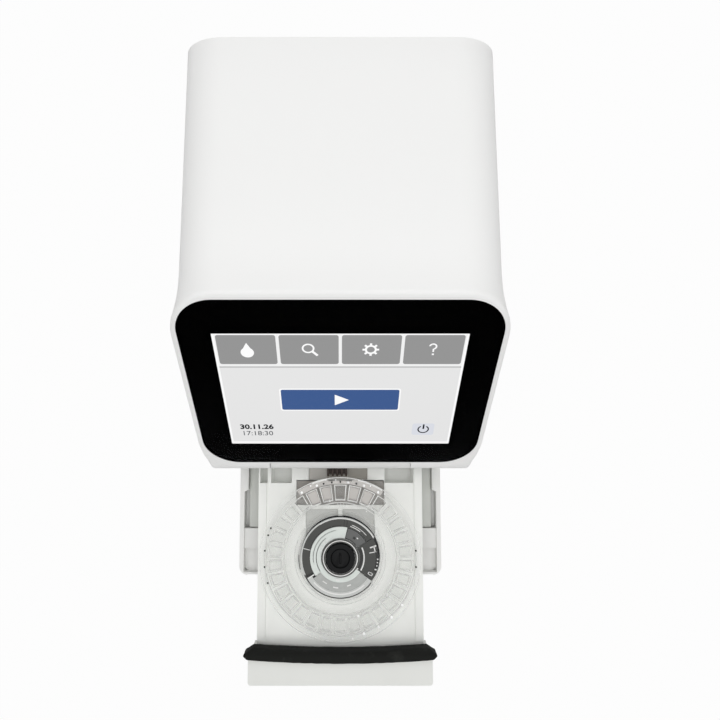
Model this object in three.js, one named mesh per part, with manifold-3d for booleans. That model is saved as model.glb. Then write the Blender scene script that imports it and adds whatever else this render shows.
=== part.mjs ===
// Bench-top blood chemistry analyzer with a motor-driven disc drawer, shown with the drawer open.
// Millimetres, +Z up, drawer towards -Y. The origin lies on the table, in the middle of the part's box.
import * as THREE from 'three';
import { mergeVertices } from 'three/addons/utils/BufferGeometryUtils.js';
import Module from 'manifold-3d';

const wasm = await Module();
wasm.setup();

// Clearances and counts shared by all pieces
const seatGap = 0.3;
const runningGap = 0.5;
const cutOverrun = 5;
const sideCount = 24;
const fineSideCount = 48;
const bowSteps = 8;

// Case
const caseDepth = 188.8;
const caseWall = 3;
const slopeWall = 4.5;
const standHeight = 4;
const splitBelowDeck = 19;
const lipBeam = 3.6;
const slopeDegrees = 48.43;
const slopeLength = 114.3;
const rimFlare = 3.6;
const rimFlareRun = 26;
const rimFlareRise = 13;
const rearTopDrop = 6.2;
const topCornerWidth = 18;
const topCornerHeight = 14;
const verticalEdgeRadius = 3;
const floorThickness = 5;

// Screen, measured along the slope from the lip
const glassLength = 105.3;
const glassWidth = 136.4;
const glassFromLip = 5.7;
const glassThickness = 1.6;
const glassCornerRadius = 17;
const maskThickness = 0.4;
const displayWidth = 109.4;
const displayLength = 73.8;
const displayAboveGlassEnd = 12.3;
const panelBorder = 4.5;
const panelThickness = 5;
const panelHoleRadius = 1;
const bracketBorder = 3.5;
const bracketThickness = 2;
const bracketPostWidth = 5;
const bracketPostInset = 5;
const displayBoardWidth = 90;
const displayBoardLength = 56;
const boardThickness = 1.6;
const boardStandoff = 2;
const boardPostRadius = 2.5;
const boardPostInset = 5;

// Centre lip piece
const lipPieceHalfWidth = 36.4;
const lipPieceEnd = 4.9;
const lipCutDepth = 9;
const lipCutRadius = 1.5;

// Front arms of the base housing and the channel between them
const armLength = 64.4;
const armFromRail = 0.3;
const armWall = 4.7;
const armCornerRadius = 5;
const armFrontDepth = 40;
const armThinWall = 2.5;
const armThinRear = 13.6;
const armThinRun = 3.3;
const armThinDepth = 9;
const armTrayBelowBlock = 3.5;
const armEndInset = 0.3;
const armEndThickness = 1.2;
const armRootDepth = 6;
const armCurveShares = [0.12, 0.7, 0.3];
const channelDepth = 42;
const channelFloorThickness = 3;
const ledgeRise = 5;
const ledgeSideGap = 0.8;
const stopBlockSideGap = 1.2;
const stopBlockRise = 10.4;
const stopBlockThickness = 5.6;
const stopBlockLength = 11.4;

// Guide rails and runners
const railFromTray = 2.3;
const railWidth = 6.1;
const railHeight = 13.7;
const railFront = 38;
const railRear = 170;
const grooveDepth = 2.9;
const grooveHeight = 4.8;
const grooveAboveLedge = 4.6;
const runnerDepth = 4.5;
const runnerHeight = 4;
const runnerFront = 36;

// Drawer
const deckHeight = 103;
const trayDiscMargin = 1.5;
const trayWall = 2.5;
const skirtDepth = 35;
const trayRear = 64;
const edgeStripWidth = 4.4;
const edgeStripHeight = 0.9;
const windowHalfWidth = 24.4;
const windowFront = 21.7;
const windowRear = 8.1;
const recessHalfWidth = 19;
const recessFront = 43.4;
const recessRear = 23.9;
const recessDepth = 1.9;
const recessRibWidth = 2.2;
const pocketFront = 9.7;
const pocketLength = 16;
const pocketFromEdge = 0.8;
const outerPocketWidth = 4;
const pocketRib = 2;
const innerPocketWidth = 11.4;
const pocketDepth = 7;
const pocketWall = 0.9;
const widePocketInner = 24.6;
const slotHalfWidth = 16.4;
const slotFront = 8.7;
const slotOffset = 1.2;
const slotRear = 22;

// Gasket and drawer front
const gasketTipReach = 6.3;
const gasketRearReach = 1.2;
const gasketFrontReach = 4;
const gasketFromDisc = 1.4;
const gasketTipDepth = 3.5;
const gasketDepth = 5.7;
const gasketBow = 1.9;
const gasketAboveDeck = 11.5;
const gasketRearDrop = 2.5;
const gasketDeckGap = 1.2;
const gasketClosedDepth = 1;
const frontPanelDepth = 13.4;
const frontPanelReach = 3.5;
const frontPanelAboveDeck = 9.4;
const frontPanelBelowDeck = 18.4;
const frontPanelCornerRadius = 1.6;
const apronBelowDeck = 40;
const apronThickness = 6;

// Mouth frame round the drawer opening
const mouthSideMargin = 1.1;
const mouthAboveDeck = 16.4;
const mouthFrameFace = 1.6;
const mouthFrameThickness = 3.6;
const gasketSqueezeGap = 0.4;
const mouthPassSideGap = 1.1;

// Spindle, measured from the disc axis and the table
const discAxis = 49.4;
const hubHoleRadius = 21.8;
const motorRadius = 16;
const motorHeight = 21.3;
const motorPlateRadius = 24;
const motorPlateThickness = 2.3;
const motorPlateHoleRadius = 4;
const spindleShaftRadius = 2.5;
const turntableRadius = 16.5;
const turntableThickness = 2.9;
const turntableBelowDeck = 2;
const spindleBossRadius = 8;
const spindleBossHeight = 4.7;
const spindleBoreRadius = 5;
const spindleBoreDepth = 3;

// Reagent disc, a lathe profile
const discRadius = 43.7;
const discBoreGap = 0.35;
const discHubRadius = 17;
const discHubHeight = 3.4;
const discWebHeight = 2;
const discWebLift = 0.6;
const discRimWidth = 2.5;
const discRingWidth = 10.7;
const discRingHeight = 5.1;
const discRimThickness = 1.6;

// Drawer drive
const toothModule = 1;
const pinionTeeth = 16;
const pinionThickness = 8;
const pinionBelowDeck = 17;
const pinionAxisY = 60;
const pinionShaftRadius = 2;
const rackBacking = 3;
const rackLength = 109;
const toothThinning = 0.2;
const toothTipShare = 0.45;
const toothTopShare = 0.8;
const toothSlopeShare = 0.3;
const driveMotorRadius = 11;
const driveMotorHeight = 17;

// Cable comb behind the optical window
const combHalfWidth = 5.6;
const combLength = 12;
const combHeight = 4;
const combToothWidth = 1.2;
const combToothCount = 5;
const combFront = 6;
const combOffset = 1.7;
const combBaseSetback = 1.4;
const combToothSetback = 0.2;

// Chassis, chamber bridge and optics
const chassisThickness = 1.8;
const chassisFront = 6;
const chassisRear = 180;
const chassisSideGap = 0.4;
const chassisPostRadius = 4;
const chassisPostInset = 3;
const chassisPostFrontY = 22;
const chassisPostRearY = 165;
const bridgeSideMargin = 1.6;
const bridgeLegWidth = 5.5;
const bridgeToWall = 4;
const bridgeFront = 8.5;
const bridgeRear = 112;
const bridgeAboveMouth = 0.2;
const bridgeThickness = 2.4;
const bridgeLegFront = 20;
const heaterHalfWidth = 50;
const heaterThickness = 0.8;
const heaterFront = 22;
const heaterRear = 68;
const opticFromRim = 8.2;
const lensRadius = 4.5;
const lensThickness = 2.2;
const lampHousingHalfWidth = 10;
const lampHousingHeight = 25;
const lampBoreDepth = 18;
const lampBoardHalfWidth = 12;
const detectorHalfWidth = 11;
const detectorHalfLength = 7;
const detectorBelowDeck = 7;
const detectorBoreRadius = 3;
const detectorBoreDepth = 10;
const detectorBoardHalfWidth = 14;
const detectorBoardHeight = 25;
const sensorWidth = 10;
const sensorX = 30;
const sensorY = 148;
const sensorHeight = 8;

// Electronics in the base
const mainBoardSideGap = 1;
const mainBoardFront = 14;
const mainBoardRear = 98;
const mainBoardLift = 9;
const mainBoardPostInset = 4;
const supplyLeft = 50;
const supplyRight = 12;
const supplyFront = 106;
const supplyRear = 156;
const supplyHeadroom = 16.9;

// Bottom cover, feet and screws
const coverHalfWidth = 50;
const coverFront = 26;
const coverRear = 100;
const coverThickness = 2.3;
const coverFlange = 8;
const footRadius = 8;
const footInset = 16;
const footFrontY = 14;
const footRearY = 172;
const screwHeadRadius = 3;
const screwHeadHeight = 1.4;
const screwShankRadius = 1.2;
const screwShankLength = 2.4;
const screwInset = 4;

// Rear panel and what is fitted in it
const rearPanelThickness = 2.4;
const rearPanelRecess = 1.8;
const rearPanelLow = 10;
const rearOpeningDepth = 6;
const panelScrewInset = 9;
const panelScrewLowZ = 17;
const panelScrewBelowTop = 22.7;
const panelBossHalf = 5;
const panelBossDepth = 12;
const fanSize = 40;
const fanDepth = 10;
const fanX = -32;
const fanBelowTop = 48.7;
const fanBoreRadius = 18.6;
const fanBladeRadius = 17.8;
const fanHubRadius = 8;
const fanBladeCount = 7;
const fanBladeThickness = 1.2;
const fanBladeTurnDegrees = 38;
const fanBladeFillShare = 0.85;
const fanHubPinRadius = 2;
const fanSpokeLength = 42;
const fanSpokeWidth = 3;
const fanSpokeThickness = 2;
const ventWidth = 34;
const ventHeight = 3;
const ventPitch = 6.5;
const ventCount = 6;
const ventX = 30;
const ventBelowFan = 16;
const inletX = -38;
const inletZ = 36;
const inletHalfWidth = 13.5;
const inletHalfHeight = 10;
const inletDepth = 20;
const inletFlange = 3;
const inletFlangeThickness = 1.4;
const inletSocketHalfWidth = 10.5;
const inletSocketHalfHeight = 7;
const inletSocketDepth = 15;
const inletPinHalf = 1.2;
const inletPinPitch = 7;
const inletPinRise = 2;
const switchX = -4;
const switchHalfWidth = 7;
const switchHalfHeight = 10;
const switchDepth = 14;
const switchWall = 1.4;
const rockerPivotDepth = 2.6;
const rockerThickness = 3;
const rockerDegrees = 9;
const portWidth = 13.2;
const portHeight = 5.8;
const portDepth = 14;
const portWall = 0.6;
const portX = 26;
const portLowZ = 28;
const portPitch = 12;
const networkX = 46;
const networkWidth = 15.4;
const networkHeight = 13.2;
const networkZ = 34;
const networkWall = 1.2;

// Colours
const shellWhite = 0xf4f4f3;
const lipWhite = 0xdcdcdb;
const frameGrey = 0xc9cac8;
const trayWhite = 0xe6e7e3;
const foamBlack = 0x1c1d1b;
const inkBlack = 0x050505;
const screenGrey = 0xe8e8e8;
const glassTint = 0xdfe8ea;
const clearPlastic = 0xe9efee;
const hubBlack = 0x141517;
const steelGrey = 0xa9adb0;
const boardGreen = 0x1f5a3a;
const combBrown = 0x3a2f29;
const railGrey = 0xb5b8b2;
const darkGrey = 0x3b3d40;

// Places worked out from the sizes above
const slope = THREE.MathUtils.degToRad(slopeDegrees);
const trayHalfWidth = discRadius + trayDiscMargin;
const railInner = trayHalfWidth + railFromTray;
const railOuter = railInner + railWidth;
const armInner = railOuter + armFromRail;
const armHalfWidth = armInner + armWall;
const mouthHalfWidth = armInner + mouthSideMargin;
const mouthPassHalfWidth = trayHalfWidth + mouthPassSideGap;
const ledgeHalfWidth = trayHalfWidth + ledgeSideGap;
const stopBlockHalfWidth = trayHalfWidth + stopBlockSideGap;
const bridgeInner = armInner + bridgeSideMargin;
const bridgeOuter = bridgeInner + bridgeLegWidth;
const caseHalfWidth = bridgeOuter + bridgeToWall + caseWall;
const chassisPostX = bridgeOuter - chassisPostInset;
const mainBoardHalfWidth = chassisPostX - chassisPostRadius - mainBoardSideGap;
const footX = caseHalfWidth - footInset;
const panelScrewX = caseHalfWidth - panelScrewInset;
const gasketTipHalfWidth = trayHalfWidth + gasketTipReach;
const gasketRearHalfWidth = trayHalfWidth + gasketRearReach;
const gasketFrontHalfWidth = trayHalfWidth + gasketFrontReach;
const frontPanelHalfWidth = trayHalfWidth + frontPanelReach;
const pocketOuter = trayHalfWidth - pocketFromEdge;
const pocketMiddle = pocketOuter - outerPocketWidth;
const pocketMiddleInner = pocketMiddle - pocketRib;
const pocketInner = pocketMiddleInner - innerPocketWidth;
const discRingOuter = discRadius - discRimWidth;
const discRingInner = discRingOuter - discRingWidth;
const opticRadius = discRadius - opticFromRim;
const gasketRear = discAxis + discRadius + gasketFromDisc;
const gasketTip = gasketRear + gasketTipDepth;
const gasketFront = gasketRear + gasketDepth;
const frontPanelFace = gasketFront + frontPanelDepth;
const trayFront = gasketFront - seatGap;
const travel = gasketTip + gasketClosedDepth;
const channelFloorHeight = deckHeight - channelDepth;
const ledgeHeight = channelFloorHeight + ledgeRise;
const stopBlockLow = ledgeHeight + stopBlockRise;
const stopBlockHigh = stopBlockLow + stopBlockThickness;
const splitHeight = deckHeight - splitBelowDeck;
const skirtLow = deckHeight - skirtDepth;
const gasketTop = deckHeight + gasketAboveDeck;
const gasketRearTop = gasketTop - gasketRearDrop;
const gasketLow = deckHeight + gasketDeckGap;
const frontPanelTop = deckHeight + frontPanelAboveDeck;
const frontPanelLow = deckHeight - frontPanelBelowDeck;
const apronLow = deckHeight - apronBelowDeck;
const mouthTop = deckHeight + mouthAboveDeck;
const lipHeight = mouthTop + lipBeam;
const bridgeLow = mouthTop + bridgeAboveMouth;
const turntableLow = deckHeight - turntableBelowDeck;
const pinionHeight = deckHeight - pinionBelowDeck;
const detectorTop = deckHeight - detectorBelowDeck;
const rimTopHeight = lipHeight + slopeLength * Math.sin(slope);
const caseTopFront = rimTopHeight - rimFlare;
const caseTopRear = caseTopFront - rearTopDrop;
const originShift = (frontPanelFace - caseDepth) / 2;
const chassisTop = ledgeHeight;
const chassisLow = chassisTop - chassisThickness;
const railLow = ledgeHeight + seatGap;
const railTop = railLow + railHeight;
const grooveLow = railLow + grooveAboveLedge;
const runnerLow = grooveLow + (grooveHeight - runnerHeight) / 2;
const deckLow = deckHeight - trayWall;
const mouthFrameRear = mouthFrameFace + mouthFrameThickness;
const motorPlateTop = deckLow - seatGap;
const motorPlateLow = motorPlateTop - motorPlateThickness;
const motorTop = motorPlateLow - seatGap;
const turntableTop = turntableLow + turntableThickness;
const discLow = turntableTop + seatGap;
const opticY = travel - discAxis + opticRadius;
const pinionPitchRadius = toothModule * pinionTeeth / 2;
const rackPitchX = trayHalfWidth - trayWall - seatGap - rackBacking - toothModule;
const pinionAxisX = pinionPitchRadius - rackPitchX;
const rearPanelFace = caseDepth - rearPanelRecess;
const rearPanelInner = rearPanelFace - rearPanelThickness;
const baseFloorTop = standHeight + floorThickness;
const supplyHeight = chassisLow - supplyHeadroom - baseFloorTop - seatGap;
const panelScrewHighZ = caseTopRear - panelScrewBelowTop;
const fanZ = caseTopRear - fanBelowTop;
const ventLowZ = fanZ - ventBelowFan;
const bridgeTop = bridgeLow + bridgeThickness;
const glassStart = glassFromLip;
const glassEnd = glassFromLip + glassLength;
const displayStart = glassFromLip + displayAboveGlassEnd;
const displayMiddle = displayStart + displayLength / 2;
const maskTop = glassThickness + seatGap;
const screenTop = maskTop + maskThickness + seatGap;

// Solids: closed geometries joined and cut

function toSolid(geometry) {
  const bare = geometry.clone();
  bare.deleteAttribute('normal');
  bare.deleteAttribute('uv');
  const merged = mergeVertices(bare);
  return new wasm.Manifold(new wasm.Mesh({
    numProp: 3,
    vertProperties: new Float32Array(merged.attributes.position.array),
    triVerts: new Uint32Array(merged.index.array),
  }));
}

function toGeometry(solid) {
  const mesh = solid.getMesh();
  const geometry = new THREE.BufferGeometry();
  geometry.setAttribute('position', new THREE.BufferAttribute(new Float32Array(mesh.vertProperties), 3));
  geometry.setIndex(new THREE.BufferAttribute(new Uint32Array(mesh.triVerts), 1));
  const loose = geometry.toNonIndexed();
  loose.computeVertexNormals();
  return loose;
}

function block(x0, x1, y0, y1, z0, z1) {
  const geometry = new THREE.BoxGeometry(x1 - x0, y1 - y0, z1 - z0);
  geometry.translate((x0 + x1) / 2, (y0 + y1) / 2, (z0 + z1) / 2);
  return toSolid(geometry);
}

function centredBlock(halfWidth, y0, y1, z0, z1) {
  return block(-halfWidth, halfWidth, y0, y1, z0, z1);
}

// Upright rod from z0 to z1
function rod(radius, x, y, z0, z1, sides = sideCount) {
  const geometry = new THREE.CylinderGeometry(radius, radius, z1 - z0, sides);
  geometry.rotateX(Math.PI / 2);
  geometry.translate(x, y, (z0 + z1) / 2);
  return toSolid(geometry);
}

// Rod lying along Y from y0 to y1
function rodAlongY(radius, x, z, y0, y1, sides = sideCount) {
  const geometry = new THREE.CylinderGeometry(radius, radius, y1 - y0, sides);
  geometry.translate(x, (y0 + y1) / 2, z);
  return toSolid(geometry);
}

function extrude(shape, depth, curveSegments = 6) {
  return new THREE.ExtrudeGeometry(shape, { depth, curveSegments, bevelEnabled: false });
}

// Outline in x and y, raised from z0 to z1
function raise(shape, z0, z1) {
  const geometry = extrude(shape, z1 - z0);
  geometry.translate(0, 0, z0);
  return toSolid(geometry);
}

// Outline in y and z, carried along x from x0 to x1
function carryAcross(shape, x0, x1) {
  const geometry = extrude(shape, x1 - x0);
  const turn = new THREE.Matrix4().makeBasis(
    new THREE.Vector3(0, 1, 0),
    new THREE.Vector3(0, 0, 1),
    new THREE.Vector3(1, 0, 0),
  );
  geometry.applyMatrix4(turn);
  geometry.translate(x0, 0, 0);
  return toSolid(geometry);
}

// Outline in x and z, carried along y from y0 to y1
function carryBack(shape, y0, y1) {
  const geometry = extrude(shape, y1 - y0);
  const turn = new THREE.Matrix4().makeBasis(
    new THREE.Vector3(1, 0, 0),
    new THREE.Vector3(0, 0, 1),
    new THREE.Vector3(0, -1, 0),
  );
  geometry.applyMatrix4(turn);
  geometry.translate(0, y1, 0);
  return toSolid(geometry);
}

function outline(points) {
  return new THREE.Shape(points.map(([a, b]) => new THREE.Vector2(a, b)));
}

function roundedRect(x0, x1, y0, y1, radius) {
  const shape = new THREE.Shape();
  shape.moveTo(x0 + radius, y0);
  shape.lineTo(x1 - radius, y0);
  shape.absarc(x1 - radius, y0 + radius, radius, -Math.PI / 2, 0, false);
  shape.lineTo(x1, y1 - radius);
  shape.absarc(x1 - radius, y1 - radius, radius, 0, Math.PI / 2, false);
  shape.lineTo(x0 + radius, y1);
  shape.absarc(x0 + radius, y1 - radius, radius, Math.PI / 2, Math.PI, false);
  shape.lineTo(x0, y0 + radius);
  shape.absarc(x0 + radius, y0 + radius, radius, Math.PI, Math.PI * 1.5, false);
  return shape;
}

// Closed solid through rings that all have the same number of points
function loft(rings) {
  const count = rings[0].length;
  const positions = rings.flat().flat();
  const index = [];
  for (let j = 0; j + 1 < rings.length; j += 1) {
    for (let i = 0; i < count; i += 1) {
      const next = (i + 1) % count;
      const a = j * count + i;
      const b = j * count + next;
      const c = (j + 1) * count + i;
      const d = (j + 1) * count + next;
      index.push(a, d, b, a, c, d);
    }
  }
  const last = (rings.length - 1) * count;
  for (let i = 0; i < count / 2 - 1; i += 1) {
    const low = i;
    const lowNext = i + 1;
    const high = count - 1 - i;
    const highNext = count - 2 - i;
    index.push(low, highNext, high, low, lowNext, highNext);
    index.push(last + low, last + highNext, last + lowNext, last + low, last + high, last + highNext);
  }
  const geometry = new THREE.BufferGeometry();
  geometry.setAttribute('position', new THREE.BufferAttribute(new Float32Array(positions), 3));
  geometry.setIndex(index);
  return toSolid(geometry);
}

const parts = new THREE.Group();

function finish(color, roughness, metalness = 0) {
  return new THREE.MeshStandardMaterial({ color, roughness, metalness });
}

function clearFinish(color, roughness, opacity) {
  return new THREE.MeshStandardMaterial({ color, roughness, opacity, transparent: true });
}

function addMesh(name, solid, material, carrier = parts) {
  const mesh = new THREE.Mesh(toGeometry(solid), material);
  mesh.name = name;
  carrier.add(mesh);
  return mesh;
}

const whitePlastic = finish(shellWhite, 0.42);
const lipPlastic = finish(lipWhite, 0.42);
const greyPlastic = finish(frameGrey, 0.5);
const trayPlastic = finish(trayWhite, 0.38);
const railPlastic = finish(railGrey, 0.45);
const foam = finish(foamBlack, 0.95);
const blackInk = finish(inkBlack, 0.3);
const screen = finish(screenGrey, 0.3);
const glass = clearFinish(glassTint, 0.05, 0.35);
const clear = clearFinish(clearPlastic, 0.1, 0.5);
const hubPlastic = finish(hubBlack, 0.3);
const steel = finish(steelGrey, 0.35, 0.9);
const circuitBoard = finish(boardGreen, 0.55);
const combPlastic = finish(combBrown, 0.6);
const rubber = finish(darkGrey, 0.9);
const blackPlastic = finish(hubBlack, 0.5);

// Case skin: rings parallel to the front profile, which turn upright towards the rear.
// inset moves the walls in, slopeInset the front, and the ends can run past the case.

function caseSkin({ inset, slopeInset, low, rear }) {
  const kink = lipHeight - slopeInset * (1 - Math.sin(slope)) / Math.cos(slope);
  const frontY = (z) => Math.max(
    slopeInset,
    (z - lipHeight) / Math.tan(slope) + slopeInset / Math.sin(slope),
  );
  const halfWidth = caseHalfWidth - inset;
  const cornerWidth = topCornerWidth - inset;
  const cornerHeight = topCornerHeight - inset;
  const flareShares = [0, 0.08, 0.2, 0.36, 0.56, 0.78, 1];
  const rearShares = [0.5, 1];
  const sideShares = [0.1, 0.25, 0.5, 0.8];
  const arcSteps = 5;
  const stations = [
    ...flareShares.map((share) => ({ run: share * rimFlareRun, back: 0, flare: (1 - share) ** 2 })),
    ...rearShares.map((share) => ({ run: rimFlareRun, back: share, flare: 0 })),
  ];
  const rings = stations.map(({ run, back, flare }) => {
    const top = THREE.MathUtils.lerp(caseTopFront, caseTopRear, back) - inset;
    const shoulder = top - cornerHeight;
    const half = [[halfWidth, low, 1, 0], [halfWidth, kink, 1, 0]];
    for (const share of sideShares) {
      half.push([halfWidth, THREE.MathUtils.lerp(kink, shoulder, share), 1, 0]);
    }
    for (let k = 0; k <= arcSteps; k += 1) {
      const angle = (k / arcSteps) * Math.PI / 2;
      half.push([
        halfWidth - cornerWidth + cornerWidth * Math.cos(angle),
        shoulder + cornerHeight * Math.sin(angle),
        Math.cos(angle),
        Math.sin(angle),
      ]);
    }
    const placed = half.map(([x, z, outX, outZ]) => {
      const rise = THREE.MathUtils.smoothstep(z, kink, lipHeight + rimFlareRise);
      const push = rimFlare * flare * rise;
      const height = z + push * outZ;
      const start = frontY(height) + run;
      return [x + push * outX, THREE.MathUtils.lerp(start, rear, back), height];
    });
    const mirrored = placed.map(([x, y, z]) => [-x, y, z]).reverse();
    return [...placed, ...mirrored];
  });
  return loft(rings);
}

// Rotates what is built flat (x, slope distance, height above the slope) onto the sloping front
const ontoSlope = new THREE.Matrix4()
  .makeTranslation(0, 0, lipHeight)
  .multiply(new THREE.Matrix4().makeRotationX(slope));

function slopeCut(shape, low, high) {
  const geometry = extrude(shape, high - low);
  geometry.translate(0, 0, low);
  geometry.applyMatrix4(ontoSlope);
  return toSolid(geometry);
}

function slopeRect(halfWidth, start, end, radius) {
  return roundedRect(-halfWidth, halfWidth, start, end, radius);
}

// Upper shell with its centre lip piece

function makeUpperShell() {
  const outer = caseSkin({
    inset: 0,
    slopeInset: 0,
    low: splitHeight + seatGap / 2,
    rear: caseDepth,
  });
  const inner = caseSkin({
    inset: caseWall,
    slopeInset: slopeWall,
    low: splitHeight - cutOverrun,
    rear: caseDepth + cutOverrun,
  });
  const glassRecess = slopeCut(
    slopeRect(
      glassWidth / 2 + seatGap,
      glassStart - seatGap,
      glassEnd + seatGap,
      glassCornerRadius + seatGap,
    ),
    -(screenTop + seatGap / 2),
    cutOverrun,
  );
  const displayHole = slopeCut(
    slopeRect(
      displayWidth / 2 + panelBorder + runningGap,
      displayStart - panelBorder - runningGap,
      displayStart + displayLength + panelBorder + runningGap,
      panelHoleRadius,
    ),
    -(slopeWall + cutOverrun),
    cutOverrun,
  );
  const mouth = centredBlock(
    mouthHalfWidth,
    -cutOverrun,
    slopeWall + cutOverrun / 2,
    splitHeight - cutOverrun,
    mouthTop,
  );
  const boss = (side) => block(
    Math.min(side * (caseHalfWidth - caseWall / 2), side * (panelScrewX - panelBossHalf)),
    Math.max(side * (caseHalfWidth - caseWall / 2), side * (panelScrewX - panelBossHalf)),
    rearPanelInner - seatGap - panelBossDepth,
    rearPanelInner - seatGap,
    panelScrewHighZ - panelBossHalf,
    panelScrewHighZ + panelBossHalf,
  ).subtract(rodAlongY(
    screwShankRadius + seatGap,
    side * panelScrewX,
    panelScrewHighZ,
    rearPanelInner - panelBossDepth / 2,
    rearPanelInner + cutOverrun,
  ));
  const shell = outer.subtract(inner).subtract(glassRecess).subtract(displayHole).subtract(mouth);
  const whole = shell.add(boss(1)).add(boss(-1));
  const notch = (halfWidth, end) => slopeCut(
    slopeRect(halfWidth, -lipCutDepth, end, lipCutRadius),
    -lipCutDepth,
    cutOverrun,
  );
  addMesh(
    'upper_shell',
    whole.subtract(notch(lipPieceHalfWidth + seatGap, lipPieceEnd)),
    whitePlastic,
  );
  addMesh(
    'front_lip',
    whole.intersect(notch(lipPieceHalfWidth, lipPieceEnd - seatGap)),
    lipPlastic,
  );
}

// Base housing: lower case, front arms with the open channel, ledges, posts and stop blocks

function armProfile(inset) {
  const front = -armLength + inset;
  const low = standHeight + inset;
  const top = splitHeight - inset;
  const curveTop = splitHeight - armFrontDepth;
  const [flatShare, lowShare, highShare] = armCurveShares;
  const shape = new THREE.Shape();
  shape.moveTo(armRootDepth, low);
  shape.lineTo(-armLength * flatShare, low);
  shape.bezierCurveTo(
    -armLength * lowShare,
    low,
    front,
    curveTop - armLength * highShare,
    front,
    curveTop,
  );
  shape.lineTo(front, top);
  shape.lineTo(armRootDepth, top);
  return shape;
}

function armPlan(inset) {
  const radius = armCornerRadius;
  return roundedRect(
    -armHalfWidth + inset,
    armHalfWidth - inset,
    -armLength + inset,
    armRootDepth + radius,
    radius,
  );
}

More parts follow.
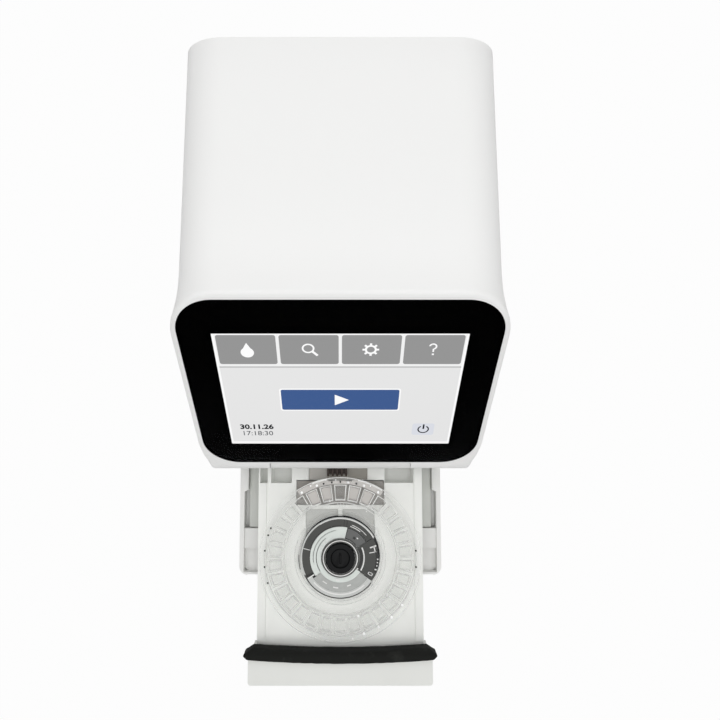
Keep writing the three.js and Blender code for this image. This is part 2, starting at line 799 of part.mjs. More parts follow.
function makeBaseHousing() {
  const body = raise(
    roundedRect(-caseHalfWidth, caseHalfWidth, 0, caseDepth, verticalEdgeRadius),
    standHeight,
    splitHeight - seatGap / 2,
  );
  const arms = carryAcross(armProfile(0), -armHalfWidth, armHalfWidth)
    .intersect(raise(armPlan(0), 0, splitHeight - seatGap / 2));
  const bodyRoom = centredBlock(
    caseHalfWidth - caseWall,
    caseWall,
    caseDepth + cutOverrun,
    baseFloorTop,
    splitHeight + cutOverrun,
  );
  const armRoom = carryAcross(armProfile(caseWall), -armInner, armInner)
    .intersect(raise(
      armPlan(caseWall),
      baseFloorTop,
      channelFloorHeight - channelFloorThickness,
    ));
  const channel = centredBlock(
    armInner,
    -armLength - cutOverrun,
    armRootDepth,
    channelFloorHeight,
    splitHeight + cutOverrun,
  );
  const rearOpening = centredBlock(
    caseHalfWidth - caseWall,
    caseDepth - rearOpeningDepth,
    caseDepth + cutOverrun,
    rearPanelLow - seatGap,
    splitHeight + cutOverrun,
  );
  const ledge = (side) => block(
    Math.min(side * ledgeHalfWidth, side * (armInner + armWall / 2)),
    Math.max(side * ledgeHalfWidth, side * (armInner + armWall / 2)),
    -armLength + armEndInset,
    caseWall,
    channelFloorHeight - channelFloorThickness / 2,
    ledgeHeight,
  );
  const stopRear = railFront + seatGap;
  const armRelief = (side, front, rear, run, low) => {
    const points = [
      [side * (armInner - cutOverrun), -front],
      [side * (armHalfWidth - armThinWall), -front],
      [side * (armHalfWidth - armThinWall), -rear - run],
      [side * (armInner - cutOverrun), -rear],
    ];
    return raise(outline(side > 0 ? points : points.reverse()), low, splitHeight + cutOverrun);
  };
  const armEnd = (side) => block(
    Math.min(side * ledgeHalfWidth, side * (armHalfWidth - armThinWall / 2)),
    Math.max(side * ledgeHalfWidth, side * (armHalfWidth - armThinWall / 2)),
    -armLength + armEndInset,
    -armLength + armEndInset + armEndThickness,
    ledgeHeight - ledgeRise / 2,
    splitHeight - seatGap / 2,
  ).intersect(raise(armPlan(0), 0, splitHeight));
  const armTray = (side) => block(
    Math.min(side * stopBlockHalfWidth, side * (armHalfWidth - armThinWall / 2)),
    Math.max(side * stopBlockHalfWidth, side * (armHalfWidth - armThinWall / 2)),
    -armLength + armEndInset + armEndThickness / 2,
    -railFront - seatGap - stopBlockLength / 2,
    ledgeHeight - ledgeRise / 2,
    stopBlockHigh - armTrayBelowBlock,
  ).intersect(raise(armPlan(armThinWall / 2), 0, splitHeight));
  const stopBlock = (side) => block(
    Math.min(side * stopBlockHalfWidth, side * (armHalfWidth - armThinWall / 2)),
    Math.max(side * stopBlockHalfWidth, side * (armHalfWidth - armThinWall / 2)),
    -railFront - seatGap - stopBlockLength,
    -railFront - seatGap,
    stopBlockLow,
    stopBlockHigh,
  );
  const rearLedge = centredBlock(
    caseHalfWidth - caseWall / 2,
    caseDepth - caseWall,
    caseDepth,
    baseFloorTop - caseWall,
    rearPanelLow - seatGap,
  );
  let base = body.add(arms).subtract(bodyRoom).subtract(armRoom).subtract(channel).subtract(rearOpening);
  base = base.add(rearLedge);
  for (const side of [-1, 1]) {
    base = base
      .subtract(armRelief(side, armLength - armEndInset - armEndThickness, stopRear, 0, ledgeHeight))
      .subtract(armRelief(side, stopRear + cutOverrun, armThinRear, armThinRun, splitHeight - armThinDepth))
      .add(ledge(side))
      .add(stopBlock(side))
      .add(armEnd(side))
      .add(armTray(side));
    for (const y of [chassisPostFrontY, chassisPostRearY]) {
      const post = rod(
        chassisPostRadius,
        side * chassisPostX,
        y,
        baseFloorTop - caseWall / 2,
        chassisLow - seatGap,
      );
      base = base.add(post);
    }
    for (const y of [mainBoardFront + mainBoardPostInset, mainBoardRear - mainBoardPostInset]) {
      const post = rod(
        boardPostRadius,
        side * (mainBoardHalfWidth - mainBoardPostInset),
        y,
        baseFloorTop - caseWall / 2,
        baseFloorTop + mainBoardLift - seatGap,
      );
      base = base.add(post);
    }
    const boss = block(
      Math.min(side * (caseHalfWidth - caseWall / 2), side * (panelScrewX - panelBossHalf)),
      Math.max(side * (caseHalfWidth - caseWall / 2), side * (panelScrewX - panelBossHalf)),
      rearPanelInner - seatGap - panelBossDepth,
      rearPanelInner - seatGap,
      panelScrewLowZ - panelBossHalf,
      panelScrewLowZ + panelBossHalf,
    );
    const bossHole = rodAlongY(
      screwShankRadius + seatGap,
      side * panelScrewX,
      panelScrewLowZ,
      rearPanelInner - panelBossDepth / 2,
      rearPanelInner + cutOverrun,
    );
    base = base.add(boss).subtract(bossHole);
  }
  const coverRecess = centredBlock(
    coverHalfWidth + seatGap,
    coverFront - seatGap,
    coverRear + seatGap,
    standHeight - cutOverrun,
    standHeight + coverThickness + seatGap,
  );
  const coverHole = centredBlock(
    coverHalfWidth - coverFlange,
    coverFront + coverFlange,
    coverRear - coverFlange,
    standHeight,
    baseFloorTop + cutOverrun,
  );
  base = base.subtract(coverRecess).subtract(coverHole);
  for (const [x, y] of coverScrewPlaces()) {
    base = base.subtract(rod(
      screwShankRadius + seatGap,
      x,
      y,
      standHeight,
      baseFloorTop + cutOverrun,
    ));
  }
  addMesh('base_housing', base, whitePlastic);
}

function coverScrewPlaces() {
  const places = [];
  for (const side of [-1, 1]) {
    for (const y of [coverFront + screwInset, coverRear - screwInset]) {
      places.push([side * (coverHalfWidth - screwInset), y]);
    }
  }
  return places;
}

function makeBottomCover() {
  let cover = centredBlock(
    coverHalfWidth,
    coverFront,
    coverRear,
    standHeight,
    standHeight + coverThickness,
  );
  coverScrewPlaces().forEach(([x, y], i) => {
    const headTop = standHeight + seatGap + screwHeadHeight;
    cover = cover.subtract(rod(
      screwHeadRadius + seatGap,
      x,
      y,
      standHeight - cutOverrun,
      headTop + seatGap,
    ));
    cover = cover.subtract(rod(
      screwShankRadius + seatGap,
      x,
      y,
      standHeight,
      standHeight + coverThickness + cutOverrun,
    ));
    const head = rod(screwHeadRadius, x, y, standHeight + seatGap, headTop);
    const shank = rod(screwShankRadius, x, y, headTop - screwHeadHeight / 2, headTop + screwShankLength);
    addMesh(`cover_screw_${i + 1}`, head.add(shank), steel);
  });
  addMesh('bottom_cover', cover, greyPlastic);
}

function makeFeet() {
  let number = 0;
  for (const x of [-footX, footX]) {
    for (const y of [footFrontY, footRearY]) {
      number += 1;
      addMesh(`foot_${number}`, rod(footRadius, x, y, 0, standHeight - seatGap), rubber);
    }
  }
}

// Screen assembly, built flat in a group that lies on the sloping front

function makeScreen() {
  const group = new THREE.Group();
  group.position.set(0, 0, lipHeight);
  group.rotation.x = slope;
  parts.add(group);
  const glassOutline = slopeRect(glassWidth / 2, glassStart, glassEnd, glassCornerRadius);
  addMesh('cover_glass', raise(glassOutline, -glassThickness, 0), glass, group);
  const mask = raise(glassOutline, -maskTop - maskThickness, -maskTop).subtract(block(
    -displayWidth / 2,
    displayWidth / 2,
    displayStart,
    displayStart + displayLength,
    -screenTop,
    0,
  ));
  addMesh('mask_frame', mask, blackInk, group);
  const panelLow = -screenTop - panelThickness;
  addMesh('lcd_panel', block(
    -displayWidth / 2 - panelBorder,
    displayWidth / 2 + panelBorder,
    displayStart - panelBorder,
    displayStart + displayLength + panelBorder,
    panelLow,
    -screenTop,
  ), screen, group);
  const bracketHalf = displayWidth / 2 + panelBorder + bracketBorder;
  const bracketHigh = panelLow - seatGap;
  const bracketLow = bracketHigh - bracketThickness;
  const bracketStart = displayStart - panelBorder - bracketBorder;
  const bracketEnd = displayStart + displayLength + panelBorder + bracketBorder;
  let bracket = block(-bracketHalf, bracketHalf, bracketStart, bracketEnd, bracketLow, bracketHigh);
  for (const side of [-1, 1]) {
    for (const y of [bracketStart + bracketPostInset, bracketEnd - bracketPostInset - bracketPostWidth]) {
      const inner = side * (bracketHalf - bracketBorder + runningGap + seatGap);
      const outer = side * bracketHalf;
      bracket = bracket.add(block(
        Math.min(inner, outer),
        Math.max(inner, outer),
        y,
        y + bracketPostWidth,
        bracketLow,
        -slopeWall - seatGap,
      ));
      bracket = bracket.add(rod(
        boardPostRadius,
        side * (displayBoardWidth / 2 - boardPostInset),
        displayMiddle + Math.sign(y - displayMiddle) * (displayBoardLength / 2 - boardPostInset),
        bracketLow - boardStandoff,
        bracketLow + bracketThickness / 2,
      ));
    }
  }
  addMesh('display_bracket', bracket, steel, group);
  const boardHigh = bracketLow - boardStandoff - seatGap;
  addMesh('display_board', block(
    -displayBoardWidth / 2,
    displayBoardWidth / 2,
    displayMiddle - displayBoardLength / 2,
    displayMiddle + displayBoardLength / 2,
    boardHigh - boardThickness,
    boardHigh,
  ), circuitBoard, group);
}

// Gasket: a tapered plug with bevelled ends, bowed towards the front in its middle

function bowedLine(halfWidth, y) {
  const points = [];
  for (let i = 0; i <= bowSteps; i += 1) {
    const share = -1 + (2 * i) / bowSteps;
    points.push([share * halfWidth, y - gasketBow * (1 - share * share)]);
  }
  return points;
}

function plugPlan(grow) {
  const rearLine = bowedLine(gasketRearHalfWidth + grow, -gasketRear + grow);
  const frontLine = bowedLine(gasketFrontHalfWidth + grow, -gasketFront - grow).reverse();
  return outline([
    ...rearLine,
    [gasketTipHalfWidth + grow, -gasketTip],
    ...frontLine,
    [-gasketTipHalfWidth - grow, -gasketTip],
  ].reverse());
}

function plugSide(grow) {
  const bottomTaper = gasketTop - gasketRearTop;
  const rear = -gasketRear + grow;
  const front = -gasketFront - gasketBow - cutOverrun;
  return outline([
    [rear, gasketLow + bottomTaper / 2 - grow],
    [rear, gasketRearTop + grow],
    [-gasketTip, gasketTop + grow],
    [front, gasketTop + grow],
    [front, gasketLow - grow],
    [-gasketTip, gasketLow - grow],
  ].reverse());
}

function plug(grow) {
  const reach = gasketTipHalfWidth + cutOverrun;
  return raise(plugPlan(grow), gasketLow - cutOverrun, gasketTop + cutOverrun)
    .intersect(carryAcross(plugSide(grow), -reach, reach));
}

function makeGasket() {
  addMesh('drawer_gasket', plug(0), foam);
}

// Mouth frame: arch in the case's mouth, with a seat cut by the closed gasket

function makeMouthFrame() {
  const arch = centredBlock(
    mouthHalfWidth - seatGap,
    mouthFrameFace,
    mouthFrameRear,
    splitHeight + seatGap,
    mouthTop - seatGap,
  );
  const seat = plug(gasketSqueezeGap).translate([0, travel, 0]);
  const pass = centredBlock(
    mouthPassHalfWidth,
    mouthFrameFace - cutOverrun,
    mouthFrameRear + cutOverrun,
    splitHeight - cutOverrun,
    gasketRearTop,
  );
  addMesh('mouth_frame', arch.subtract(seat).subtract(pass), greyPlastic);
}

// Drawer: tray, front, runners and rack

function makeTray() {
  const outer = centredBlock(trayHalfWidth, -trayFront, trayRear, skirtLow, deckHeight);
  const under = centredBlock(
    trayHalfWidth - trayWall,
    -trayFront + trayWall,
    trayRear + cutOverrun,
    skirtLow - cutOverrun,
    deckLow,
  );
  let tray = outer.subtract(under);
  for (const side of [-1, 1]) {
    tray = tray.add(block(
      Math.min(side * (trayHalfWidth - edgeStripWidth), side * trayHalfWidth),
      Math.max(side * (trayHalfWidth - edgeStripWidth), side * trayHalfWidth),
      -gasketRear + seatGap,
      trayRear,
      deckHeight - trayWall / 2,
      deckHeight + edgeStripHeight,
    ));
    const wellInner = side < 0 ? pocketInner : widePocketInner;
    tray = tray.add(block(
      Math.min(side * (wellInner - pocketWall), side * (trayHalfWidth - trayWall / 2)),
      Math.max(side * (wellInner - pocketWall), side * (trayHalfWidth - trayWall / 2)),
      -pocketFront - pocketWall,
      -pocketFront + pocketLength + pocketWall,
      deckHeight - pocketDepth - pocketWall,
      deckHeight - trayWall / 2,
    ));
    const pockets = side < 0
      ? [[pocketOuter, pocketMiddle], [pocketMiddleInner, pocketInner]]
      : [[pocketMiddle, widePocketInner]];
    for (const [outerX, innerX] of pockets) {
      tray = tray.subtract(block(
        Math.min(side * outerX, side * innerX),
        Math.max(side * outerX, side * innerX),
        -pocketFront,
        -pocketFront + pocketLength,
        deckHeight - pocketDepth,
        deckHeight + cutOverrun,
      ));
    }
    tray = tray.subtract(block(
      Math.min(side * recessRibWidth / 2, side * recessHalfWidth),
      Math.max(side * recessRibWidth / 2, side * recessHalfWidth),
      -recessFront,
      -recessRear,
      deckHeight - recessDepth,
      deckHeight + cutOverrun,
    ));
  }
  const hubHole = rod(
    hubHoleRadius,
    0,
    -discAxis,
    deckLow - cutOverrun,
    deckHeight + cutOverrun,
    fineSideCount,
  );
  const opticWindow = centredBlock(
    windowHalfWidth,
    -windowFront,
    -windowRear,
    deckLow - cutOverrun,
    deckHeight + cutOverrun,
  );
  const rearSlot = block(
    -slotHalfWidth - slotOffset,
    slotHalfWidth - slotOffset,
    -slotFront,
    slotRear,
    deckHeight - recessDepth,
    deckHeight + cutOverrun,
  );
  addMesh('drawer_tray', tray.subtract(hubHole).subtract(opticWindow).subtract(rearSlot), trayPlastic);
}

function makeDrawerFront() {
  const rearLine = bowedLine(frontPanelHalfWidth, -gasketFront - seatGap);
  const radius = frontPanelCornerRadius;
  const shape = new THREE.Shape();
  shape.moveTo(-frontPanelHalfWidth + radius, -frontPanelFace);
  shape.lineTo(frontPanelHalfWidth - radius, -frontPanelFace);
  shape.absarc(
    frontPanelHalfWidth - radius,
    -frontPanelFace + radius,
    radius,
    -Math.PI / 2,
    0,
    false,
  );
  for (const [x, y] of [...rearLine].reverse()) {
    shape.lineTo(x, y);
  }
  shape.lineTo(-frontPanelHalfWidth, -frontPanelFace + radius);
  shape.absarc(
    -frontPanelHalfWidth + radius,
    -frontPanelFace + radius,
    radius,
    Math.PI,
    Math.PI * 1.5,
    false,
  );
  const panel = raise(shape, frontPanelLow, frontPanelTop);
  const apron = centredBlock(
    trayHalfWidth,
    -frontPanelFace + apronThickness / 2,
    -gasketFront - gasketBow - seatGap,
    apronLow,
    frontPanelLow + frontPanelCornerRadius,
  );
  addMesh('drawer_front', panel.add(apron), whitePlastic);
}

function makeRunnersAndRails() {
  for (const [name, side] of [['left', -1], ['right', 1]]) {
    const runnerInner = side * (trayHalfWidth + seatGap);
    const runnerOuter = side * (trayHalfWidth + seatGap + runnerDepth);
    addMesh(`runner_${name}`, block(
      Math.min(runnerInner, runnerOuter),
      Math.max(runnerInner, runnerOuter),
      -runnerFront,
      trayRear,
      runnerLow,
      runnerLow + runnerHeight,
    ), railPlastic);
    const rail = block(
      Math.min(side * railInner, side * railOuter),
      Math.max(side * railInner, side * railOuter),
      -railFront,
      railRear,
      railLow,
      railTop,
    );
    const groove = block(
      Math.min(side * (railInner - cutOverrun), side * (railInner + grooveDepth)),
      Math.max(side * (railInner - cutOverrun), side * (railInner + grooveDepth)),
      -railFront - cutOverrun,
      railRear + cutOverrun,
      grooveLow,
      grooveLow + grooveHeight,
    );
    addMesh(`rail_${name}`, rail.subtract(groove), railPlastic);
  }
}

// Rack teeth point to +X and the pinion stands beside them. A rack gap lies at the pinion's axis.

function makeDrive() {
  const pitch = Math.PI * toothModule;
  const addendum = toothModule * toothTopShare;
  const dedendum = toothModule;
  const baseHalf = pitch / 4 - toothThinning / 2 + dedendum * toothSlopeShare;
  const tipHalf = pitch * toothTipShare / 4;
  const rackEnd = trayRear;
  const rackStart = rackEnd - rackLength;
  const rackBackX = -(trayHalfWidth - trayWall - seatGap);
  const rackRootX = -rackPitchX - dedendum;
  const points = [[rackBackX, rackStart], [rackBackX, rackEnd]];
  const teeth = [];
  const firstTooth = Math.ceil((rackStart - pinionAxisY) / pitch);
  const lastTooth = Math.floor((rackEnd - pinionAxisY) / pitch);
  for (let i = firstTooth; i <= lastTooth; i += 1) {
    teeth.push(pinionAxisY + (i + 0.5) * pitch);
  }
  points.push([rackRootX, rackEnd]);
  const wholeTeeth = teeth.filter((y) => y - baseHalf > rackStart && y + baseHalf < rackEnd);
  for (const y of [...wholeTeeth].reverse()) {
    points.push([rackRootX, y + baseHalf]);
    points.push([-rackPitchX + addendum, y + tipHalf]);
    points.push([-rackPitchX + addendum, y - tipHalf]);
    points.push([rackRootX, y - baseHalf]);
  }
  points.push([rackRootX, rackStart]);
  const rack = raise(outline([...points].reverse()), pinionHeight, pinionHeight + pinionThickness);
  addMesh('drive_rack', rack, railPlastic);
  const pinionPoints = [];
  const rootRadius = pinionPitchRadius - dedendum;
  const tipRadius = pinionPitchRadius + addendum;
  for (let i = 0; i < pinionTeeth; i += 1) {
    const middle = Math.PI + (i / pinionTeeth) * Math.PI * 2;
    const baseAngle = baseHalf / rootRadius;
    const tipAngle = tipHalf / tipRadius;
    for (const [radius, angle] of [
      [rootRadius, middle - baseAngle],
      [tipRadius, middle - tipAngle],
      [tipRadius, middle + tipAngle],
      [rootRadius, middle + baseAngle],
    ]) {
      pinionPoints.push([
        pinionAxisX + radius * Math.cos(angle),
        pinionAxisY + radius * Math.sin(angle),
      ]);
    }
  }
  const motorHigh = chassisTop + seatGap + driveMotorHeight;
  const pinion = raise(outline(pinionPoints), pinionHeight, pinionHeight + pinionThickness);
  const pinionShaft = rod(
    pinionShaftRadius,
    pinionAxisX,
    pinionAxisY,
    motorHigh + seatGap,
    pinionHeight + pinionThickness / 2,
  );
  addMesh('drive_pinion', pinion.add(pinionShaft), railPlastic);
  addMesh('drive_motor', rod(
    driveMotorRadius,
    pinionAxisX,
    pinionAxisY,
    chassisTop + seatGap,
    motorHigh,
  ), steel);
}

// Spindle under the reagent disc

function lathe(points, sides) {
  const geometry = new THREE.LatheGeometry(points.map(([r, z]) => new THREE.Vector2(r, z)), sides);
  geometry.rotateX(Math.PI / 2);
  return toSolid(geometry);
}

function makeSpindle() {
  addMesh('spindle_motor', rod(motorRadius, 0, -discAxis, motorTop - motorHeight, motorTop), hubPlastic);
  addMesh('motor_plate', rod(
    motorPlateRadius,
    0,
    -discAxis,
    motorPlateLow,
    motorPlateTop,
    fineSideCount,
  ).subtract(rod(
    motorPlateHoleRadius,
    0,
    -discAxis,
    motorPlateLow - cutOverrun,
    motorPlateTop + cutOverrun,
  )), blackPlastic);
  addMesh('spindle_shaft', rod(
    spindleShaftRadius,
    0,
    -discAxis,
    motorTop + seatGap,
    turntableLow - seatGap,
  ), steel);
  const hub = rod(turntableRadius, 0, -discAxis, turntableLow, turntableTop, fineSideCount)
    .add(rod(
      spindleBossRadius,
      0,
      -discAxis,
      turntableTop - turntableThickness / 2,
      turntableTop + spindleBossHeight,
      fineSideCount,
    ))
    .subtract(rod(
      spindleBoreRadius,
      0,
      -discAxis,
      turntableTop + spindleBossHeight - spindleBoreDepth,
      turntableTop + spindleBossHeight + cutOverrun,
    ));
  addMesh('spindle_hub', hub, hubPlastic);
}

function makeDisc() {
  const bore = spindleBossRadius + discBoreGap;
  const webLow = discWebLift;
  const webTop = discWebLift + discWebHeight;
  const rimTop = discRingHeight;
  const rimLow = discRingHeight - discRimThickness;
  const profile = [
    [bore, 0],
    [discHubRadius, 0],
    [discHubRadius, webLow],
    [discRingInner, webLow],
    [discRingInner, 0],
    [discRingOuter, 0],
    [discRingOuter, rimLow],
    [discRadius, rimLow],
    [discRadius, rimTop],
    [discRingInner, rimTop],
    [discRingInner - discWebHeight, webTop],
    [discHubRadius, webTop],
    [discHubRadius, discHubHeight],
    [bore, discHubHeight],
    [bore, 0],
  ];
  const disc = lathe(profile, fineSideCount);
  addMesh('reagent_disc', disc.translate([0, -discAxis, discLow]), clear);
}

function makeComb() {
  const low = deckHeight - recessDepth + seatGap;
  const base = block(
    -combHalfWidth - combOffset,
    combHalfWidth - combOffset,
    -combFront + combBaseSetback,
    -combFront + combLength,
    low,
    low + combHeight / 2,
  );
  let comb = base;
  const toothPitch = (combHalfWidth * 2 - combToothWidth) / (combToothCount - 1);
  for (let i = 0; i < combToothCount; i += 1) {
    const x = -combHalfWidth - combOffset + i * toothPitch;
    comb = comb.add(block(
      x,
      x + combToothWidth,
      -combFront + combToothSetback,
      -combFront + combLength,
      low,
      low + combHeight,
    ));
  }
  addMesh('cable_comb', comb, combPlastic);
}

// Chassis, bridge over the disc chamber, optics

function makeChassis() {
  addMesh('chassis_plate', centredBlock(
    caseHalfWidth - caseWall - chassisSideGap,
    chassisFront,
    chassisRear,
    chassisLow,
    chassisTop,
  ), steel);
  let bridge = centredBlock(bridgeOuter, bridgeFront, bridgeRear, bridgeLow, bridgeTop);
  for (const side of [-1, 1]) {
    bridge = bridge.add(block(
      Math.min(side * bridgeInner, side * bridgeOuter),
      Math.max(side * bridgeInner, side * bridgeOuter),
      bridgeLegFront,
      bridgeRear,
      chassisTop + seatGap,
      bridgeTop,
    ));
  }
  bridge = bridge.subtract(rod(
    lensRadius + seatGap,
    0,
    opticY,
    bridgeLow - cutOverrun,
    bridgeTop + cutOverrun,
  ));
  addMesh('chamber_bridge', bridge, finish(steelGrey, 0.4, 0.8));
  addMesh('heater_mat', centredBlock(
    heaterHalfWidth,
    heaterFront,
    heaterRear,
    bridgeTop + seatGap,
    bridgeTop + seatGap + heaterThickness,
  ), combPlastic);
}

function makeOptics() {
  const lensLow = bridgeLow + (bridgeThickness - lensThickness) / 2;
  addMesh('condenser_lens', rod(lensRadius, 0, opticY, lensLow, lensLow + lensThickness), glass);
  const lampLow = bridgeTop + seatGap;
  const housing = centredBlock(
    lampHousingHalfWidth,
    opticY - lampHousingHalfWidth,
    opticY + lampHousingHalfWidth,
    lampLow,
    lampLow + lampHousingHeight,
  ).subtract(rod(lensRadius, 0, opticY, lampLow - cutOverrun, lampLow + lampBoreDepth));
  addMesh('lamp_housing', housing, blackPlastic);
  const lampBoardLow = lampLow + lampHousingHeight + seatGap;
  addMesh('lamp_board', centredBlock(
    lampBoardHalfWidth,
    opticY - lampBoardHalfWidth,
    opticY + lampBoardHalfWidth,
    lampBoardLow,
    lampBoardLow + boardThickness,
  ), circuitBoard);
  const detector = centredBlock(
    detectorHalfWidth,
    opticY - detectorHalfLength,
    opticY + detectorHalfLength,
    chassisTop + seatGap,
    detectorTop,
  ).subtract(rod(
    detectorBoreRadius,
    0,
    opticY,
    detectorTop - detectorBoreDepth,
    detectorTop + cutOverrun,
  ));
  addMesh('detector_block', detector, blackPlastic);
  addMesh('detector_board', centredBlock(
    detectorBoardHalfWidth,
    opticY + detectorHalfLength + seatGap,
    opticY + detectorHalfLength + seatGap + boardThickness,
    chassisTop + seatGap,
    chassisTop + seatGap + detectorBoardHeight,
  ), circuitBoard);
  addMesh('drawer_sensor', block(
    sensorX - sensorWidth / 2,
    sensorX + sensorWidth / 2,
    sensorY,
    sensorY + sensorWidth,
    chassisTop + seatGap,
    chassisTop + seatGap + sensorHeight,
  ), blackPlastic);
}

function makeElectronics() {
  addMesh('main_board', centredBlock(
    mainBoardHalfWidth,
    mainBoardFront,
    mainBoardRear,
    baseFloorTop + mainBoardLift,
    baseFloorTop + mainBoardLift + boardThickness,
  ), circuitBoard);
  addMesh('power_supply', block(
    -supplyLeft,
    supplyRight,
    supplyFront,
    supplyRear,
    baseFloorTop + seatGap,
    baseFloorTop + seatGap + supplyHeight,
  ), steel);
}

// Rear panel with its vents, and what is fitted in it

function rearPanelShape() {
  const halfWidth = caseHalfWidth - caseWall - seatGap;
  const top = caseTopRear - caseWall - seatGap;
  const cornerWidth = topCornerWidth - caseWall - seatGap;
  const cornerHeight = topCornerHeight - caseWall - seatGap;
  const shape = new THREE.Shape();
  shape.moveTo(-halfWidth, rearPanelLow);
  shape.lineTo(halfWidth, rearPanelLow);
  shape.lineTo(halfWidth, top - cornerHeight);
  shape.absellipse(
    halfWidth - cornerWidth,
    top - cornerHeight,
    cornerWidth,
    cornerHeight,
    0,
    Math.PI / 2,
    false,
  );
  shape.lineTo(-halfWidth + cornerWidth, top);
  shape.absellipse(
    -halfWidth + cornerWidth,
    top - cornerHeight,
    cornerWidth,
    cornerHeight,
    Math.PI / 2,
    Math.PI,
    false,
  );
  return shape;
}

function panelHole(halfWidth, halfHeight, x, z) {
  return block(
    x - halfWidth - seatGap,
    x + halfWidth + seatGap,
    rearPanelInner - cutOverrun,
    rearPanelFace + cutOverrun,
    z - halfHeight - seatGap,
    z + halfHeight + seatGap,
  );
}

function makeRearPanel() {
  let panel = carryBack(rearPanelShape(), rearPanelInner, rearPanelFace);
  for (let i = 0; i < ventCount; i += 1) {
    panel = panel.subtract(panelHole(
      ventWidth / 2,
      ventHeight / 2,
      ventX,
      ventLowZ + i * ventPitch,
    ));
    panel = panel.subtract(panelHole(
      ventWidth / 2,
      ventHeight / 2,
      fanX,
      fanZ + (i - (ventCount - 1) / 2) * ventPitch,
    ));
  }
  panel = panel
    .subtract(panelHole(inletHalfWidth, inletHalfHeight, inletX, inletZ))
    .subtract(panelHole(switchHalfWidth, switchHalfHeight, switchX, inletZ))
    .subtract(panelHole(portWidth / 2, portHeight / 2, portX, portLowZ))
    .subtract(panelHole(portWidth / 2, portHeight / 2, portX, portLowZ + portPitch))
    .subtract(panelHole(networkWidth / 2, networkHeight / 2, networkX, networkZ));
  let number = 0;
  for (const x of [-panelScrewX, panelScrewX]) {
    for (const z of [panelScrewLowZ, panelScrewHighZ]) {
      number += 1;
      const headInner = rearPanelFace - screwHeadHeight;
      panel = panel.subtract(rodAlongY(
        screwHeadRadius + seatGap,
        x,
        z,
        headInner - seatGap,
        rearPanelFace + cutOverrun,
      ));
      panel = panel.subtract(rodAlongY(
        screwShankRadius + seatGap,
        x,
        z,
        rearPanelInner - cutOverrun,
        rearPanelFace,
      ));
      const head = rodAlongY(screwHeadRadius, x, z, headInner, rearPanelFace);
      const shank = rodAlongY(
        screwShankRadius,
        x,
        z,
        rearPanelInner - screwShankLength,
        headInner + screwHeadHeight / 2,
      );
      addMesh(`panel_screw_${number}`, head.add(shank), steel);
    }
  }
  addMesh('rear_panel', panel, greyPlastic);
}

function makeFan() {
  const rear = rearPanelInner - seatGap;
  const front = rear - fanDepth;
  const half = fanSize / 2;
  let frame = block(fanX - half, fanX + half, front, rear, fanZ - half, fanZ + half)
    .subtract(rodAlongY(fanBoreRadius, fanX, fanZ, front - cutOverrun, rear + cutOverrun, fineSideCount));
  for (const turn of [0, Math.PI / 2]) {
    const spoke = new THREE.BoxGeometry(fanSpokeLength, fanSpokeThickness, fanSpokeWidth);
    spoke.rotateY(turn + Math.PI / 4);
    spoke.translate(fanX, front + fanSpokeThickness / 2, fanZ);
    frame = frame.add(toSolid(spoke));
  }
  frame = frame.add(rodAlongY(fanHubRadius, fanX, fanZ, front, front + fanSpokeThickness));
  const rotorFront = front + fanSpokeThickness + runningGap;
  const rotorRear = rear - runningGap;
  const pin = rodAlongY(
    fanHubPinRadius,
    fanX,
    fanZ,
    front + fanSpokeThickness + seatGap,
    rotorFront + fanSpokeThickness,
  );
  let rotor = rodAlongY(fanHubRadius, fanX, fanZ, rotorFront, rotorRear).add(pin);
  for (let i = 0; i < fanBladeCount; i += 1) {
    const bladeLength = fanBladeRadius - fanHubRadius / 2;
    const blade = new THREE.BoxGeometry(
      bladeLength,
      (rotorRear - rotorFront) / Math.cos(THREE.MathUtils.degToRad(fanBladeTurnDegrees)) * fanBladeFillShare,
      fanBladeThickness,
    );
    blade.rotateX(THREE.MathUtils.degToRad(fanBladeTurnDegrees));
    blade.translate(fanHubRadius / 2 + bladeLength / 2, 0, 0);
    blade.rotateY((i / fanBladeCount) * Math.PI * 2);
    blade.translate(fanX, (rotorFront + rotorRear) / 2, fanZ);
    rotor = rotor.add(toSolid(blade));
  }
  const rotorRoom = rodAlongY(
    fanBladeRadius,
    fanX,
    fanZ,
    front + fanSpokeThickness + seatGap,
    rotorRear,
    fineSideCount,
  );
  addMesh('fan_frame', frame, blackPlastic);
  addMesh('fan_rotor', rotor.intersect(rotorRoom), blackPlastic);
}

